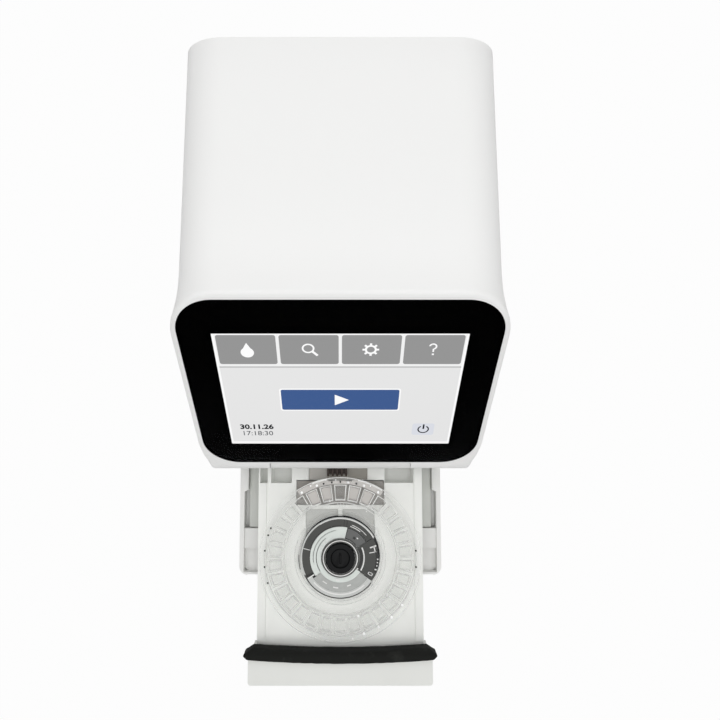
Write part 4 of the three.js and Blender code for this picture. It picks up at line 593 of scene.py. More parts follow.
def make_finishes(scene):
    """All the finishes of the object, once."""
    case, screen, drawer = scene.analyzer_case, scene.analyzer_screen, scene.analyzer_drawer
    FINISHES.update({
        "case_abs": moulded_plastic("Satin white ABS", tuple(case.white), 0.42, 0.45, 0.012, 30.0, 0.012),
        # Lip: the case's white made darker as painted shade, for front faces turned from the light
        "lip_shaded_abs": moulded_plastic("Lip ABS painted shade", linear("#ededeb"), 0.42, 0.45, 0.012, 30.0, 0.012),
        "trim_abs": moulded_plastic("Grained grey ABS", tuple(case.trim), 0.55, 0.6, 0.04),
        "tray_pc": moulded_plastic("Tray polycarbonate", tuple(drawer.tray), 0.36, 0.7, 0.015, 9.0, 0.05),
        "rail_pom": moulded_plastic("Rail acetal", tuple(drawer.rails), 0.4, 0.7, 0.02, 8.0, 0.08),
        "foam": foam_rubber("Closed cell foam"),
        "glass": coated_glass("Coated cover glass"),
        "ink": printed_black("Printed black"),
        "display": lit_surface("Lit display", tuple(screen.background)),
        "display_line": lit_surface("Display white", linear("#ffffff")),
        "display_key": lit_surface("Display grey key", tuple(screen.keys)),
        "display_row": lit_surface("Display key row", linear("#f4f4f4")),
        "display_rule": lit_surface("Display grey line", linear("#c2c2c2")),
        "display_start": lit_surface("Display blue key", tuple(screen.start_key), spread=0.03),
        "display_dark": lit_surface("Display dark mark", linear("#16191f")),
        "display_clock": lit_surface("Display grey type", linear("#4c5055")),
        "display_pad": lit_surface("Display pale key", linear("#dde0e8")),
        # Main disc: a faint veil of painted reflection, fainter on the web
        "styrene": clear_styrene("Clear polystyrene", "#fbfcfa", 0.07, 0.02),
        # Faint painted highlights on the edges of the wells
        "styrene_faint_highlight": clear_styrene("Polystyrene faint painted highlights", "#fbfbf9", 0.2),
        # Painted light: a lit sheet for well floors and the rim over the window
        "styrene_painted_light": clear_styrene("Polystyrene painted light", "#f4f0ec", 0.5),
        # Painted glints: pure white dots standing in for lamp highlights on the disc
        "glint_white": moulded_plastic("Painted glints", linear("#ffffff"), 0.25, 0.5, 0.0, 5.0, 0.05),
        # Painted highlights on well frames, webs, rim edges and the channel dots
        "styrene_highlight": clear_styrene("Polystyrene painted highlights", "#fdfdfb", 0.85),
        # Window sheet: a grey veil of painted light, for the lit space seen through the window
        "window_light": clear_styrene("Window sheet painted light", "#a8a49e", 0.8),
        "pale_insert": moulded_plastic("Pale insert", linear("#dfe0de"), 0.3, 0.9, 0.03, 4.0, 0.12),
        "base_abs": moulded_plastic("Base housing ABS", linear("#e8e8e6"), 0.42, 0.45, 0.012, 30.0, 0.02),
        "front_abs": moulded_plastic("Drawer front ABS", linear("#e6e7e3"), 0.42, 0.45, 0.012, 24.0, 0.05),
        # The recess, pocket and slot floors are greys of painted shade, for shade under the case's lip and in
        # the hollows
        "recess_shade_pc": moulded_plastic("Recess floor", linear("#cacbc7"), 0.4, 0.7, 0.02, 7.0, 0.06),
        "pocket_shade_pc": moulded_plastic("Pocket floor", linear("#d9dad6"), 0.4, 0.7, 0.02, 7.0, 0.06),
        "slot_pale": moulded_plastic("Slot floor", linear("#c4c1bb"), 0.4, 0.7, 0.02, 5.0, 0.1),
        "slot_dark": moulded_plastic("Slot floor in shade", linear("#a8a49b"), 0.4, 0.7, 0.02, 5.0, 0.12),
        "ring_pale": moulded_plastic("Pale hub ring", linear("#e0e6e1"), 0.3, 0.9, 0.03, 3.0, 0.1),
        "ring_grey": moulded_plastic("Grey hub band", linear("#b6b8b5"), 0.3, 0.9, 0.05, 2.0, 0.2),
        "ring_light": moulded_plastic("Light hub band", linear("#cfd1ce"), 0.3, 0.9, 0.05, 2.0, 0.15),
        "ring_dark": moulded_plastic("Dark code ring", linear("#3f403d"), 0.35, 0.8, 0.02, 4.0, 0.25),
        "ring_black": moulded_plastic("Black hub line", linear("#1f201e"), 0.35, 0.8, 0.02, 4.0, 0.2),
        "hub_black": moulded_plastic("Satin black acetal", linear("#101112"), 0.4, 0.8, 0.01, 6.0, 0.3, 0.12),
        "wedge_grey": moulded_plastic("Dark grey insert", linear("#626362"), 0.3, 0.8, 0.03, 5.0, 0.25),
        "black_abs": moulded_plastic("Satin black ABS", linear("#17181a"), 0.45, 0.5, 0.02, 8.0, 0.2),
        "anodised": metal("Black anodised aluminium", linear("#232427"), 0.45),
        "steel": metal("Nickel plated steel", linear("#b9babb"), 0.28),
        "sheet": metal("Mill finish aluminium", linear("#b2b5b7"), 0.4, 0.5),
        "board": circuit_board("Green circuit board"),
        "heater": polyimide_heater("Polyimide heater"),
        "comb": moulded_plastic("Dark brown nylon", linear("#40342d"), 0.5, 0.6, 0.03, 3.0, 0.3),
        "rubber": rubber("Foot rubber", linear("#3b3d40")),
        "gold": metal("Gold plated contact", linear("#d9b35a"), 0.25),
        # White for printed marks and for painted highlights on the hub and its collar
        "print_and_highlight_white": moulded_plastic("White print and painted highlights", linear("#e9e9e7"), 0.5, 0.5, 0.01, 5.0, 0.05),
    })


# Case, in millimetres, with heights over the table and y from the case's front

CASE_HALF = 68.0
CASE_TOP_FRONT = 204.913
CASE_TOP_REAR = 198.713
CASE_LOW = 84.15
CASE_REAR = 188.8
CORNER_WIDTH = 18.0
CORNER_HEIGHT = 14.0
LIP_HEIGHT = 123.0
LIP_BLEND = 2.4
FLARE = 3.6
FLARE_RUN = 26.0
FLARE_RISE = 13.0
REAR_ROUND = 1.0
REAR_ROUND_RUN = 120.0
WALL = 3.0
SLOPE_WALL = 4.5
ROOM_LOW = 79.0
OVERRUN = 5.0

# Where the skin has its points: shares of the flare, the depth, the side and the top, and steps at the lip

FLARE_SHARES = (0.1, 0.16, 0.24, 0.32, 0.42, 0.52, 0.64, 0.78, 0.9, 1.0)
DEPTH_SHARES = (0.25, 0.5, 0.75)
SIDE_SHARES = (0.06, 0.12, 0.2, 0.3, 0.4, 0.55, 0.7, 0.85)
TOP_SHARES = (0.25, 0.5, 0.75)
LIP_STEPS = (-2.7, -2.0, -1.3, -0.6, 0.0, 0.6, 1.3, 2.0, 2.7)
CORNER_STEPS = 12

# Openings of the upper shell: half width, start and end up the slope, corner radius and depth

RECESS = (68.5, 5.4, 111.3, 17.3, -2.75)
OPENING = (59.0, 14.8, 97.3, 1.0, -9.5)
MOUTH_HALF = 55.0
MOUTH_DEPTH = 7.0
MOUTH_TOP = 119.4
NOTCH_HALF = 36.7
NOTCH_END = 4.9
NOTCH_DEPTH = 9.0
NOTCH_RADIUS = 1.5
LIP_HALF = 36.35
LIP_END = 4.65


def skin_stations(rounding):
    """Places from front to rear: run behind the front, share of the depth, and how far the edge tucks in."""
    stations = []
    for step in range(5):
        turn = step / 4 * math.pi / 2
        stations.append((rounding * (1 - math.cos(turn)), 0.0, rounding * (1 - math.sin(turn))))
    stations += [(share * FLARE_RUN, 0.0, 0.0) for share in FLARE_SHARES]
    stations += [(FLARE_RUN, back, 0.0) for back in DEPTH_SHARES]
    end_round = min(rounding, REAR_ROUND)
    for step in range(4):
        turn = step / 3 * math.pi / 2
        back = 1.0 - end_round * (1 - math.sin(turn)) / REAR_ROUND_RUN
        stations.append((FLARE_RUN, back, end_round * (1 - math.cos(turn))))
    return stations


def skin_side(inset, low, kink, top, steps):
    """Right half of a ring, from below to the middle: across, height and the direction that faces out."""
    half, width, height = CASE_HALF - inset, CORNER_WIDTH - inset, CORNER_HEIGHT - inset
    shoulder = top - height
    side = [(half, low, 1.0, 0.0)]
    side += [(half, kink + step, 1.0, 0.0) for step in steps]
    side += [(half, kink + (shoulder - kink) * share, 1.0, 0.0) for share in SIDE_SHARES]
    for k in range(CORNER_STEPS + 1):
        out_x, out_z = math.cos(k / CORNER_STEPS * math.pi / 2), math.sin(k / CORNER_STEPS * math.pi / 2)
        side.append((half - width + width * out_x, shoulder + height * out_z, out_x, out_z))
    side += [((half - width) * (1 - share), top, 0.0, 1.0) for share in TOP_SHARES]
    return side


def case_skin(name, inset, slope_inset, low, rear, rounding):
    """Closed skin of the upper case: rings like the front's profile, turning upright to the rear.
    It flares near the screen, and its outer edges are rounded at both ends."""
    slope = math.radians(SLOPE_DEGREES)
    kink = LIP_HEIGHT - slope_inset * (1 - math.sin(slope)) / math.cos(slope)
    bend = LIP_BLEND if rounding else 0.0
    steps = LIP_STEPS if rounding else (0.0,)

    def front(z):
        upright = slope_inset
        sloped = (z - LIP_HEIGHT) / math.tan(slope) + slope_inset / math.sin(slope)
        blend = max(bend - abs(upright - sloped), 0.0) ** 2 / (4 * bend) if bend else 0.0
        return max(upright, sloped) + blend

    rings = []
    for run, back, tuck in skin_stations(rounding):
        weight = (1 - run / FLARE_RUN) ** 2 if back == 0 else 0.0
        top = CASE_TOP_FRONT + (CASE_TOP_REAR - CASE_TOP_FRONT) * back - inset
        ring = []
        for x, z, out_x, out_z in skin_side(inset, low, kink, top, steps):
            rise = min(max((z - kink) / (LIP_HEIGHT + FLARE_RISE - kink), 0.0), 1.0)
            push = FLARE * weight * rise * rise * (3 - 2 * rise) - tuck
            start = front(z + push * out_z) + run
            ring.append(Vector((x + push * out_x, start + (rear - start) * back, z + push * out_z)))
        ring += [Vector((-p.x, p.y, p.z)) for p in reversed(ring)]
        rings.append(ring)
    return close_rings(name, rings)


def close_rings(name, rings):
    """Joins mirrored rings, given in millimetres, into one closed mesh with flat ends."""
    count = len(rings[0])
    last = (len(rings) - 1) * count
    shift = Vector((0.0, CASE_FRONT, 0.0))
    points = [p * MM + shift for ring in rings for p in ring]
    faces = []
    for first in range(0, last, count):
        for i in range(count):
            n = (i + 1) % count
            faces.append((first + i, first + count + i, first + count + n, first + n))
    for i in range(count // 2 - 1):
        quad = (i, i + 1, count - 2 - i, count - 1 - i)
        faces.append(quad)
        faces.append(tuple(last + v for v in reversed(quad)))
    return outward(add_mesh(name, points, faces))


def slope_room(name, half, start, end, radius, low, segments=12):
    """A cutter that stands on the slope, in millimetres, and reaches past its surface."""
    return lay_on_slope(rounded_plate(
        name, half * MM, start * MM, end * MM, radius * MM, low * MM, OVERRUN * MM, segments))


class ANALYZER_OT_upper_shell(bpy.types.Operator):
    """Upper shell: the smooth white skin with its flared rim, screen recess and drawer mouth"""

    bl_idname = "analyzer.upper_shell"
    bl_label = "Upper shell"

    def execute(self, context):
        settings = context.scene.analyzer_case
        shell = case_skin("upper_shell_skin", 0.0, 0.0, CASE_LOW, CASE_REAR, settings.rim_round / MM)
        cut(shell, case_skin("shell_room", WALL, SLOPE_WALL, ROOM_LOW, CASE_REAR + OVERRUN, 0.0))
        cut(shell, slope_room("recess", *RECESS))
        cut(shell, slope_room("opening", *OPENING, 3))
        cut(shell, add_block("mouth", (-MOUTH_HALF * MM, CASE_FRONT - OVERRUN * MM, ROOM_LOW * MM),
                             (MOUTH_HALF * MM, CASE_FRONT + MOUTH_DEPTH * MM, MOUTH_TOP * MM)))
        pick(shell)
        bpy.ops.object.duplicate()
        lip = bpy.context.object
        lip.name = lip.data.name = "front_lip_piece"
        for piece, half, end, operation in ((shell, NOTCH_HALF, NOTCH_END, "DIFFERENCE"),
                                            (lip, LIP_HALF, LIP_END, "INTERSECT")):
            cut(piece, slope_room("notch", half, -NOTCH_DEPTH, end, NOTCH_RADIUS, -NOTCH_DEPTH, 4), operation)
            smooth(piece, 28.0)
        hand_over(shell, "case", "shell_white", FINISHES["case_abs"], "upper_shell")
        # The lip gets the darker white, painted shade for its front faces turned from the light
        hand_over(lip, "case", "lip_white", FINISHES["lip_shaded_abs"], "front_lip")
        return {"FINISHED"}


class ANALYZER_OT_base_housing(bpy.types.Operator):
    """Base housing with its two front arms, and the frame in the drawer's mouth"""

    bl_idname = "analyzer.base_housing"
    bl_label = "Base housing"

    def execute(self, context):
        rounding = context.scene.analyzer_case.edge_round
        refine("base_housing", "base_housing_body", "case", "shell_white", "base_abs", rounding, 3, 38.0)
        refine("mouth_frame", "mouth_frame_piece", "case", "frame_grey", "trim_abs", 0.25 * MM)
        return {"FINISHED"}


# Screen, in millimetres up the slope, across it from the middle, and above it

DISPLAY_START = 18.0
DISPLAY_HALF = 54.7
DISPLAY_HEIGHT = 73.8
DISPLAY_TOP = -2.6
GLASS_FRONT = 5.7
GLASS_REAR = 111.0
GLASS_HALF = 68.2
GLASS_CORNER = 17.0
GLASS_THICKNESS = 1.6
PRINT_LOW = -2.3
PRINT_HIGH = -1.9
PRINT_CORNER = 0.4
BAND_HIGH = -0.12
BAND_OUTER = 0.25
BAND_INNER = 0.05
MARK_GAP = 0.02
MARK_SHARE = 0.9

# What the display shows, in millimetres from the middle of its lower edge: left, right, lower, upper, radius

SIDE_EDGE = 0.95
TOP_EDGE = 1.1
FOOT_EDGE = 1.4
ROW_START = 54.3
RULE_SPAN = (53.2, 54.0)
KEY_FIRST = -53.2
KEY_PITCH = 26.95
KEY_WIDTH = 25.55
KEY_SPAN = (55.5, 72.5)
KEY_CORNER = 1.1
START_RIM = (-28.3, 28.1, 24.5, 39.8, 1.2)
START_KEY = (-27.6, 27.4, 25.3, 39.05, 0.9)
START_ARROW = [(-2.6, 28.6), (4.0, 32.2), (-2.6, 35.8)]
POWER_KEY = (35.4, 46.2, 6.6, 15.2, 1.2)
DATE_PLACE = (-49.2, -32.8, 11.0, 14.6)
TIME_PLACE = (-48.0, -33.4, 6.2, 9.5)


def display_mark(name, outlines, level, context, material):
    """Thin marks on the display as one piece, in millimetres from the middle of its lower edge."""
    thickness = context.scene.analyzer_screen.mark_height
    low = (DISPLAY_TOP + MARK_GAP) * MM + (level - 1) * thickness
    marks = []
    for outline in outlines:
        points = [(x * MM, (DISPLAY_START + y) * MM) for x, y in outline]
        marks.append(flat_shape(name, points, low, low + thickness * MARK_SHARE))
    return hand_over(lay_on_slope(join(marks, name)), "case", "display", material)


def arc_outline(cx, cy, radius, start, end, steps):
    """Points along an arc between two angles in degrees."""
    angles = [math.radians(start + (end - start) * k / steps) for k in range(steps + 1)]
    return [(cx + radius * math.cos(a), cy + radius * math.sin(a)) for a in angles]


def rounded_outline(x0, x1, y0, y1, radius, steps=5):
    """Outline of a rectangle with round corners."""
    points = []
    for cx, cy, first in ((x1 - radius, y0 + radius, -90), (x1 - radius, y1 - radius, 0),
                          (x0 + radius, y1 - radius, 90), (x0 + radius, y0 + radius, 180)):
        points += arc_outline(cx, cy, radius, first, first + 90, steps)
    return points


def ring_outline(cx, cy, inner, outer, start, end, steps):
    """Outline of an open ring: out along one radius and back along the other."""
    return arc_outline(cx, cy, outer, start, end, steps) + arc_outline(cx, cy, inner, start, end, steps)[::-1]


def box_outline(x0, x1, y0, y1):
    """Outline of a rectangle."""
    return [(x0, y0), (x1, y0), (x1, y1), (x0, y1)]


def drop_outline(cx, cy, radius=2.9, sink=0.4, tip=5.2):
    """Outline of a liquid drop: most of a circle, and its tip."""
    return arc_outline(cx, cy - sink, radius, -235, 55, 24) + [(cx, cy + tip)]


def ring_outlines(cx, cy, inner, outer):
    """Outlines of the two halves of a closed ring."""
    return [ring_outline(cx, cy, inner, outer, 0, 180, 16), ring_outline(cx, cy, inner, outer, 180, 360, 16)]


def gear_outlines(cx, cy, inner=1.7, outer=2.6, root=2.4, tip=3.6, half_tooth=0.5):
    """Outlines of a toothed wheel: its ring in two halves, and eight teeth."""
    teeth = []
    for tooth in range(8):
        out = Vector((math.cos(tooth * math.pi / 4), math.sin(tooth * math.pi / 4)))
        teeth.append(bar_outline(cx + root * out.x, cy + root * out.y, cx + tip * out.x, cy + tip * out.y,
                                 half_tooth))
    return ring_outlines(cx, cy, inner, outer) + teeth


def bar_outline(x0, y0, x1, y1, half):
    """Outline of a straight stroke."""
    along = Vector((x1 - x0, y1 - y0)).normalized()
    side = Vector((-along.y, along.x)) * half
    return [(x0 + side.x, y0 + side.y), (x0 - side.x, y0 - side.y),
            (x1 - side.x, y1 - side.y), (x1 + side.x, y1 + side.y)]


def display_text(name, text, x0, x1, y0, y1, heaviness, context, material):
    """A line of plain type, fitted between two places across and two heights."""
    bpy.ops.object.select_all(action="DESELECT")
    bpy.ops.object.text_add()
    line = bpy.context.object
    line.data.body = text
    line.data.offset = heaviness
    line.data.resolution_u = 4
    bpy.ops.object.convert(target="MESH")
    line = bpy.context.object
    line.name = line.data.name = name
    across, up = [v.co.x for v in line.data.vertices], [v.co.y for v in line.data.vertices]
    wide, tall = (x1 - x0) / (max(across) - min(across)), (y1 - y0) / (max(up) - min(up))
    low = (DISPLAY_TOP + MARK_GAP) * MM
    thickness = context.scene.analyzer_screen.mark_height * MARK_SHARE
    line.data.transform(Matrix((
        (wide * MM, 0, 0, (x0 - min(across) * wide) * MM),
        (0, tall * MM, 0, (DISPLAY_START + y0 - min(up) * tall) * MM),
        (0, 0, 1, low), (0, 0, 0, 1))))
    pick(line)
    bpy.ops.object.mode_set(mode="EDIT")
    bpy.ops.mesh.select_all(action="SELECT")
    bpy.ops.mesh.extrude_region_move(TRANSFORM_OT_translate={"value": (0, 0, thickness)})
    bpy.ops.object.mode_set(mode="OBJECT")
    return hand_over(lay_on_slope(outward(line)), "case", "display", material)


class ANALYZER_OT_screen(bpy.types.Operator):
    """Cover glass, its black print and the lit display behind it"""

    bl_idname = "analyzer.screen"
    bl_label = "Screen"

    def execute(self, context):
        glass = self.plate("touch_glass", 0.0, -GLASS_THICKNESS, 0.0)
        soften(glass, 0.25 * MM, 2)
        lay_on_slope(glass)
        hand_over(glass, "case", "cover_glass", FINISHES["glass"], "cover_glass")
        mask = self.plate("black_print", 0.0, PRINT_LOW, PRINT_HIGH)
        cut(mask, rounded_plate("print_window", DISPLAY_HALF * MM, DISPLAY_START * MM,
                                (DISPLAY_START + DISPLAY_HEIGHT) * MM, PRINT_CORNER * MM,
                                -OVERRUN * MM, 1 * MM, 3))
        band = self.plate("edge_band", BAND_OUTER, PRINT_LOW, BAND_HIGH)
        cut(band, self.plate("band_room", BAND_INNER, -OVERRUN, 1.0))
        for print_piece, nodes in ((mask, ("mask_frame",)), (band, ())):
            lay_on_slope(smooth(print_piece))
            hand_over(print_piece, "case", "black_print", FINISHES["ink"], *nodes)
        finish_node("lcd_panel", FINISHES["display"])
        finish_node("display_bracket", FINISHES["sheet"])
        finish_node("display_board", FINISHES["board"])
        return {"FINISHED"}

    def plate(self, name, wider, low, high):
        """A plate like the glass, wider than it by a little on every side."""
        return rounded_plate(name, (GLASS_HALF + wider) * MM, (GLASS_FRONT - wider) * MM,
                             (GLASS_REAR + wider) * MM, (GLASS_CORNER + wider) * MM, low * MM, high * MM, 20)


class ANALYZER_OT_display_marks(bpy.types.Operator):
    """Keys, icons and clock that the display shows, as thin marks on its surface"""

    bl_idname = "analyzer.display_marks"
    bl_label = "Display marks"

    def execute(self, context):
        upper, inside = DISPLAY_HEIGHT - TOP_EDGE, DISPLAY_HALF - SIDE_EDGE
        edges = (box_outline(-DISPLAY_HALF, DISPLAY_HALF, 0, FOOT_EDGE),
                 box_outline(-DISPLAY_HALF, DISPLAY_HALF, upper, DISPLAY_HEIGHT),
                 box_outline(-DISPLAY_HALF, -inside, FOOT_EDGE, upper),
                 box_outline(inside, DISPLAY_HALF, FOOT_EDGE, upper))
        keys = []
        for number in range(4):
            start = KEY_FIRST + KEY_PITCH * number
            keys.append((f"display_key_{number + 1}", 2, "display_key",
                         [rounded_outline(start, start + KEY_WIDTH, *KEY_SPAN, KEY_CORNER)]))
        for name, level, finish, outlines in (
                ("display_edge", 1, "display_line", edges),
                ("display_key_row", 1, "display_row", [box_outline(-inside, inside, ROW_START, upper)]),
                *keys,
                ("display_rule", 1, "display_rule", [box_outline(-inside, inside, *RULE_SPAN)]),
                ("display_start_rim", 1, "display_line", [rounded_outline(*START_RIM)]),
                ("display_start_key", 2, "display_start", [rounded_outline(*START_KEY)]),
                ("display_start_arrow", 3, "display_line", [START_ARROW]),
                ("display_icon_drop", 3, "display_line", [drop_outline(-40.4, 62.9)]),
                ("display_icon_lens", 3, "display_line", [
                    *ring_outlines(-13.9, 64.9, 2.0, 2.75), bar_outline(-12.0, 63.0, -9.9, 60.7, 0.55)]),
                ("display_icon_gear", 3, "display_line", gear_outlines(13.2, 64.2)),
                ("display_icon_query", 3, "display_line", [
                    ring_outline(40.0, 66.0, 1.1, 1.8, 170, -70, 16),
                    bar_outline(40.3, 64.7, 40.3, 62.9, 0.36), box_outline(39.85, 40.75, 61.0, 61.9)]),
                ("display_power_key", 1, "display_pad", [rounded_outline(*POWER_KEY)]),
                ("display_power_sign", 2, "display_dark", [
                    ring_outline(40.9, 10.9, 2.2, 2.85, 122, 418, 28),
                    bar_outline(40.9, 14.6, 40.9, 11.2, 0.42)])):
            display_mark(name, outlines, level, context, FINISHES[finish])
        display_text("display_date", "30.11.26", *DATE_PLACE, 0.035, context, FINISHES["display_dark"])
        display_text("display_time", "17:18:30", *TIME_PLACE, 0.0, context, FINISHES["display_clock"])
        return {"FINISHED"}


# Drawer

# Sheets on the tray's floors, in millimetres: left, right, front, rear, low, high, finish. The grey ones are
# painted shade in the recesses, pockets and rear slot, and the window's sheet is painted light.

TRAY_SHADE_AND_LIGHT_SHEETS = (
    ("recess_floor_left", -18.8, -1.3, -80.8, -61.7, 101.12, 101.3, "recess_shade_pc"),
    ("recess_floor_right", 1.3, 18.8, -80.8, -61.7, 101.12, 101.3, "recess_shade_pc"),
    ("slot_floor_left", -17.4, -7.5, -45.5, -15.8, 101.12, 101.25, "slot_pale"),
    ("slot_floor_middle", -7.4, 4.0, -45.5, -15.8, 101.12, 101.25, "slot_dark"),
    ("slot_floor_right", 4.1, 15.0, -45.5, -15.8, 101.12, 101.25, "slot_dark"),
    ("pocket_floor_outer", -44.2, -39.8, -47.0, -31.7, 96.05, 96.2, "pocket_shade_pc"),
    ("pocket_floor_left", -37.6, -27.4, -47.0, -31.7, 96.05, 96.2, "pocket_shade_pc"),
    ("pocket_floor_right", 25.0, 40.0, -47.0, -31.7, 96.05, 96.2, "pocket_shade_pc"),
    # Sheet of painted light in the window, for the lit space below it
    ("window_light_sheet", -24.3, 24.3, -59.2, -46.4, 100.62, 101.0, "window_light"),
)

# Room for the hub in the recess floors, as radius and two heights, and the foam's edge and lumps

HUB_ROOM = (22.2, 90.0, 110.0)
FOAM_EDGE = 0.8
FOAM_LUMPS_PER_METRE = 260.0


class ANALYZER_OT_drawer(bpy.types.Operator):
    """Drawer tray, drawer front, gasket, comb, rack and runners"""

    bl_idname = "analyzer.drawer"
    bl_label = "Drawer"

    def execute(self, context):
        settings = context.scene.analyzer_drawer
        refine("drawer_tray", "tray_body", "drawer", "tray_white", "tray_pc", settings.edge_round, 2, 38.0)
        refine("drawer_front", "drawer_front_panel", "drawer", "shell_white", "front_abs", 0.8 * MM, 3, 38.0)
        self.floors()
        self.gasket(settings)
        for node, name, body, width, slot, finish in (
                ("cable_comb", "comb_piece", "drawer", 0.2, "comb_brown", "comb"),
                ("drive_rack", "toothed_rack", "drawer", 0.1, "rail_plastic", "rail_pom"),
                ("runner_left", "runner_bar_left", "drawer", 0.4, "rail_plastic", "rail_pom"),
                ("runner_right", "runner_bar_right", "drawer", 0.4, "rail_plastic", "rail_pom"),
                ("rail_left", "rail_bar_left", "case", 0.4, "rail_plastic", "rail_pom"),
                ("rail_right", "rail_bar_right", "case", 0.4, "rail_plastic", "rail_pom")):
            refine(node, name, body, slot, finish, width * MM)
        return {"FINISHED"}

    def floors(self):
        """Grey sheets of painted shade in the recesses, pockets and rear slot of the tray, and a sheet of
        painted light in its window.
        """
        for name, left, right, front, rear, low, high, finish in TRAY_SHADE_AND_LIGHT_SHEETS:
            insert = add_block(name, (left * MM, front * MM, low * MM), (right * MM, rear * MM, high * MM))
            if finish == "recess_shade_pc":
                radius, foot, head = HUB_ROOM
                cut(insert, add_rod("hub_room", radius * MM, DISC_AXIS + UP * foot * MM,
                                    DISC_AXIS + UP * head * MM, 96))
            slot = "clear_plastic" if finish == "window_light" else "tray_white"
            hand_over(insert, "drawer", slot, FINISHES[finish])

    def gasket(self, settings):
        """Foam with rounded edges and the slight unevenness of cut foam."""
        foam = copy_of("drawer_gasket", "foam_gasket")
        apply_modifier(foam, "BEVEL", width=FOAM_EDGE * MM, segments=2, limit_method="ANGLE",
                       angle_limit=math.radians(25))
        apply_modifier(foam, "TRIANGULATE")
        low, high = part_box("drawer_gasket")
        pick(foam)
        bpy.ops.object.mode_set(mode="EDIT")
        bpy.ops.mesh.select_all(action="SELECT")
        for _ in range(2):
            bpy.ops.mesh.subdivide(number_cuts=1)
        bpy.ops.object.mode_set(mode="OBJECT")
        for vertex in foam.data.vertices:
            swell = noise.noise(vertex.co * FOAM_LUMPS_PER_METRE) * settings.foam_swell
            moved = vertex.co - vertex.normal * abs(swell)
            vertex.co = Vector([min(max(moved[k], low[k]), high[k]) for k in range(3)])
        foam.data.update()
        smooth(foam, 50.0)
        hand_over(foam, "drawer", "gasket_foam", FINISHES["foam"], "drawer_gasket")


# Reagent disc and spindle, in millimetres from their axis and degrees round it

DISC_PROFILE = [
    (8.35, 0), (10.6, 0), (10.6, 0.6), (30.5, 0.6), (30.5, 0), (41.2, 0), (41.2, 3.5), (43.7, 3.5),
    (43.7, 4.8), (43.4, 5.1), (30.8, 5.1), (30.5, 4.8), (30.2, 2.2), (10.6, 2.2), (10.3, 3.4), (8.35, 3.4)]
WELL_SHARE = 0.33
RIDGE_RADII = (22.6, 24.6)
RIDGE_LOW = 2.15
RIDGE_HIGH = 2.7
# Collars on the hub: inner and outer radius, low and high, slot and finish. The thin white one is a painted
# highlight.
COLLARS = (
    (8.4, 10.25, 3.4, 3.5, "hub_black", "ring_dark"),
    (9.0, 9.5, 3.5, 3.75, "clear_plastic", "print_and_highlight_white"),
)
INSERT_LOW = 2.21
INSERT_LAYER = 0.12

# Painted highlights on lines that catch the light, and sheets of painted light on lit well floors and on the
# rim, as inner and outer radius, first and last angle, and lower and upper height

WELL_FRAME = (
    (31.1, 31.7, -4.3, 4.3, 4.85, 5.1), (39.1, 39.5, -4.3, 4.3, 4.85, 5.1),
    (31.1, 39.5, -4.9, -4.2, 4.85, 5.1), (31.1, 39.5, 4.2, 4.9, 4.85, 5.1))
WELL_LIGHT_SHEET = (31.8, 39.0, -4.1, 4.1, 2.8, 2.9)
WELL_WEB_HIGHLIGHT = (32.5, 38.2, 4.3, 4.8, 4.8, 5.05)
LONG_EDGES = ((43.1, 43.5, 52, 128, 4.8, 5.08), (29.3, 29.7, 50, 112, 2.1, 2.4))
RIM_LINES = ((42.5, 43.1, 100, 111, 4.8, 5.08), (42.6, 43.1, 58, 77, 4.8, 5.08))
# Sheets of painted light over the rim, across the window
RIM_LIGHT_SHEETS = (
    (39.9, 42.8, 57, 81, 4.5, 4.6), (39.9, 41.7, 81, 99, 4.5, 4.6), (39.9, 42.8, 99, 123, 4.5, 4.6))

# Wells that get strong painted highlights, painted light on their floors or painted highlights on their webs,
# between two angles, and the well at the rear middle, which stays clear

BRIGHT_WELLS = (50, 130)
LIT_SHEET_WELLS = (60, 120)
WEB_HIGHLIGHT_WELLS = (265, 330)
CLEAR_WELL = 90

# Dots on the disc: radius of the ring, their own radius, height of their tops, finish and angles. The white
# glints at the rim and the wells are painted highlights.

DISC_DOTS = (
    # The channel's dots are small holes catching the light, drawn in the painted-highlight white
    ("channel_dots", 28.6, 0.4, 2.75, "styrene_highlight", (92.8, 89.6, 86.4, 82.8)),
    ("vent_plugs", 41.0, 0.5, 5.1, "hub_black", (6, -6, 156.7, 162.3, 174, 186, 198, 102.8, 96.5, 90, 77.6)),
    # Painted glints at the rim and the wells, white dots for lamp highlights
    ("rim_glints", 41.0, 0.7, 5.1, "glint_white", (288, 300, 312, 324, 108.2, 120.8, 84, 71.6, 59.7)),
    ("rim_glints_small", 42.1, 0.4, 5.1, "glint_white", (112.6, 55, 67, 93.4, 279)),
    ("well_glints", 31.3, 0.6, 5.1, "glint_white", (312.7, 322.9, 100.5, 288)),
)
DOT_DEPTH = 0.5

# The channel's further dots start at this angle, one to a well, and leave out this many wells

CHANNEL_START = 60
CHANNEL_GAP = 6

# Inserts round the hub: finish, layer, and each sector's inner and outer radius and first and last angle. The
# white lines are partly print and partly painted highlights.

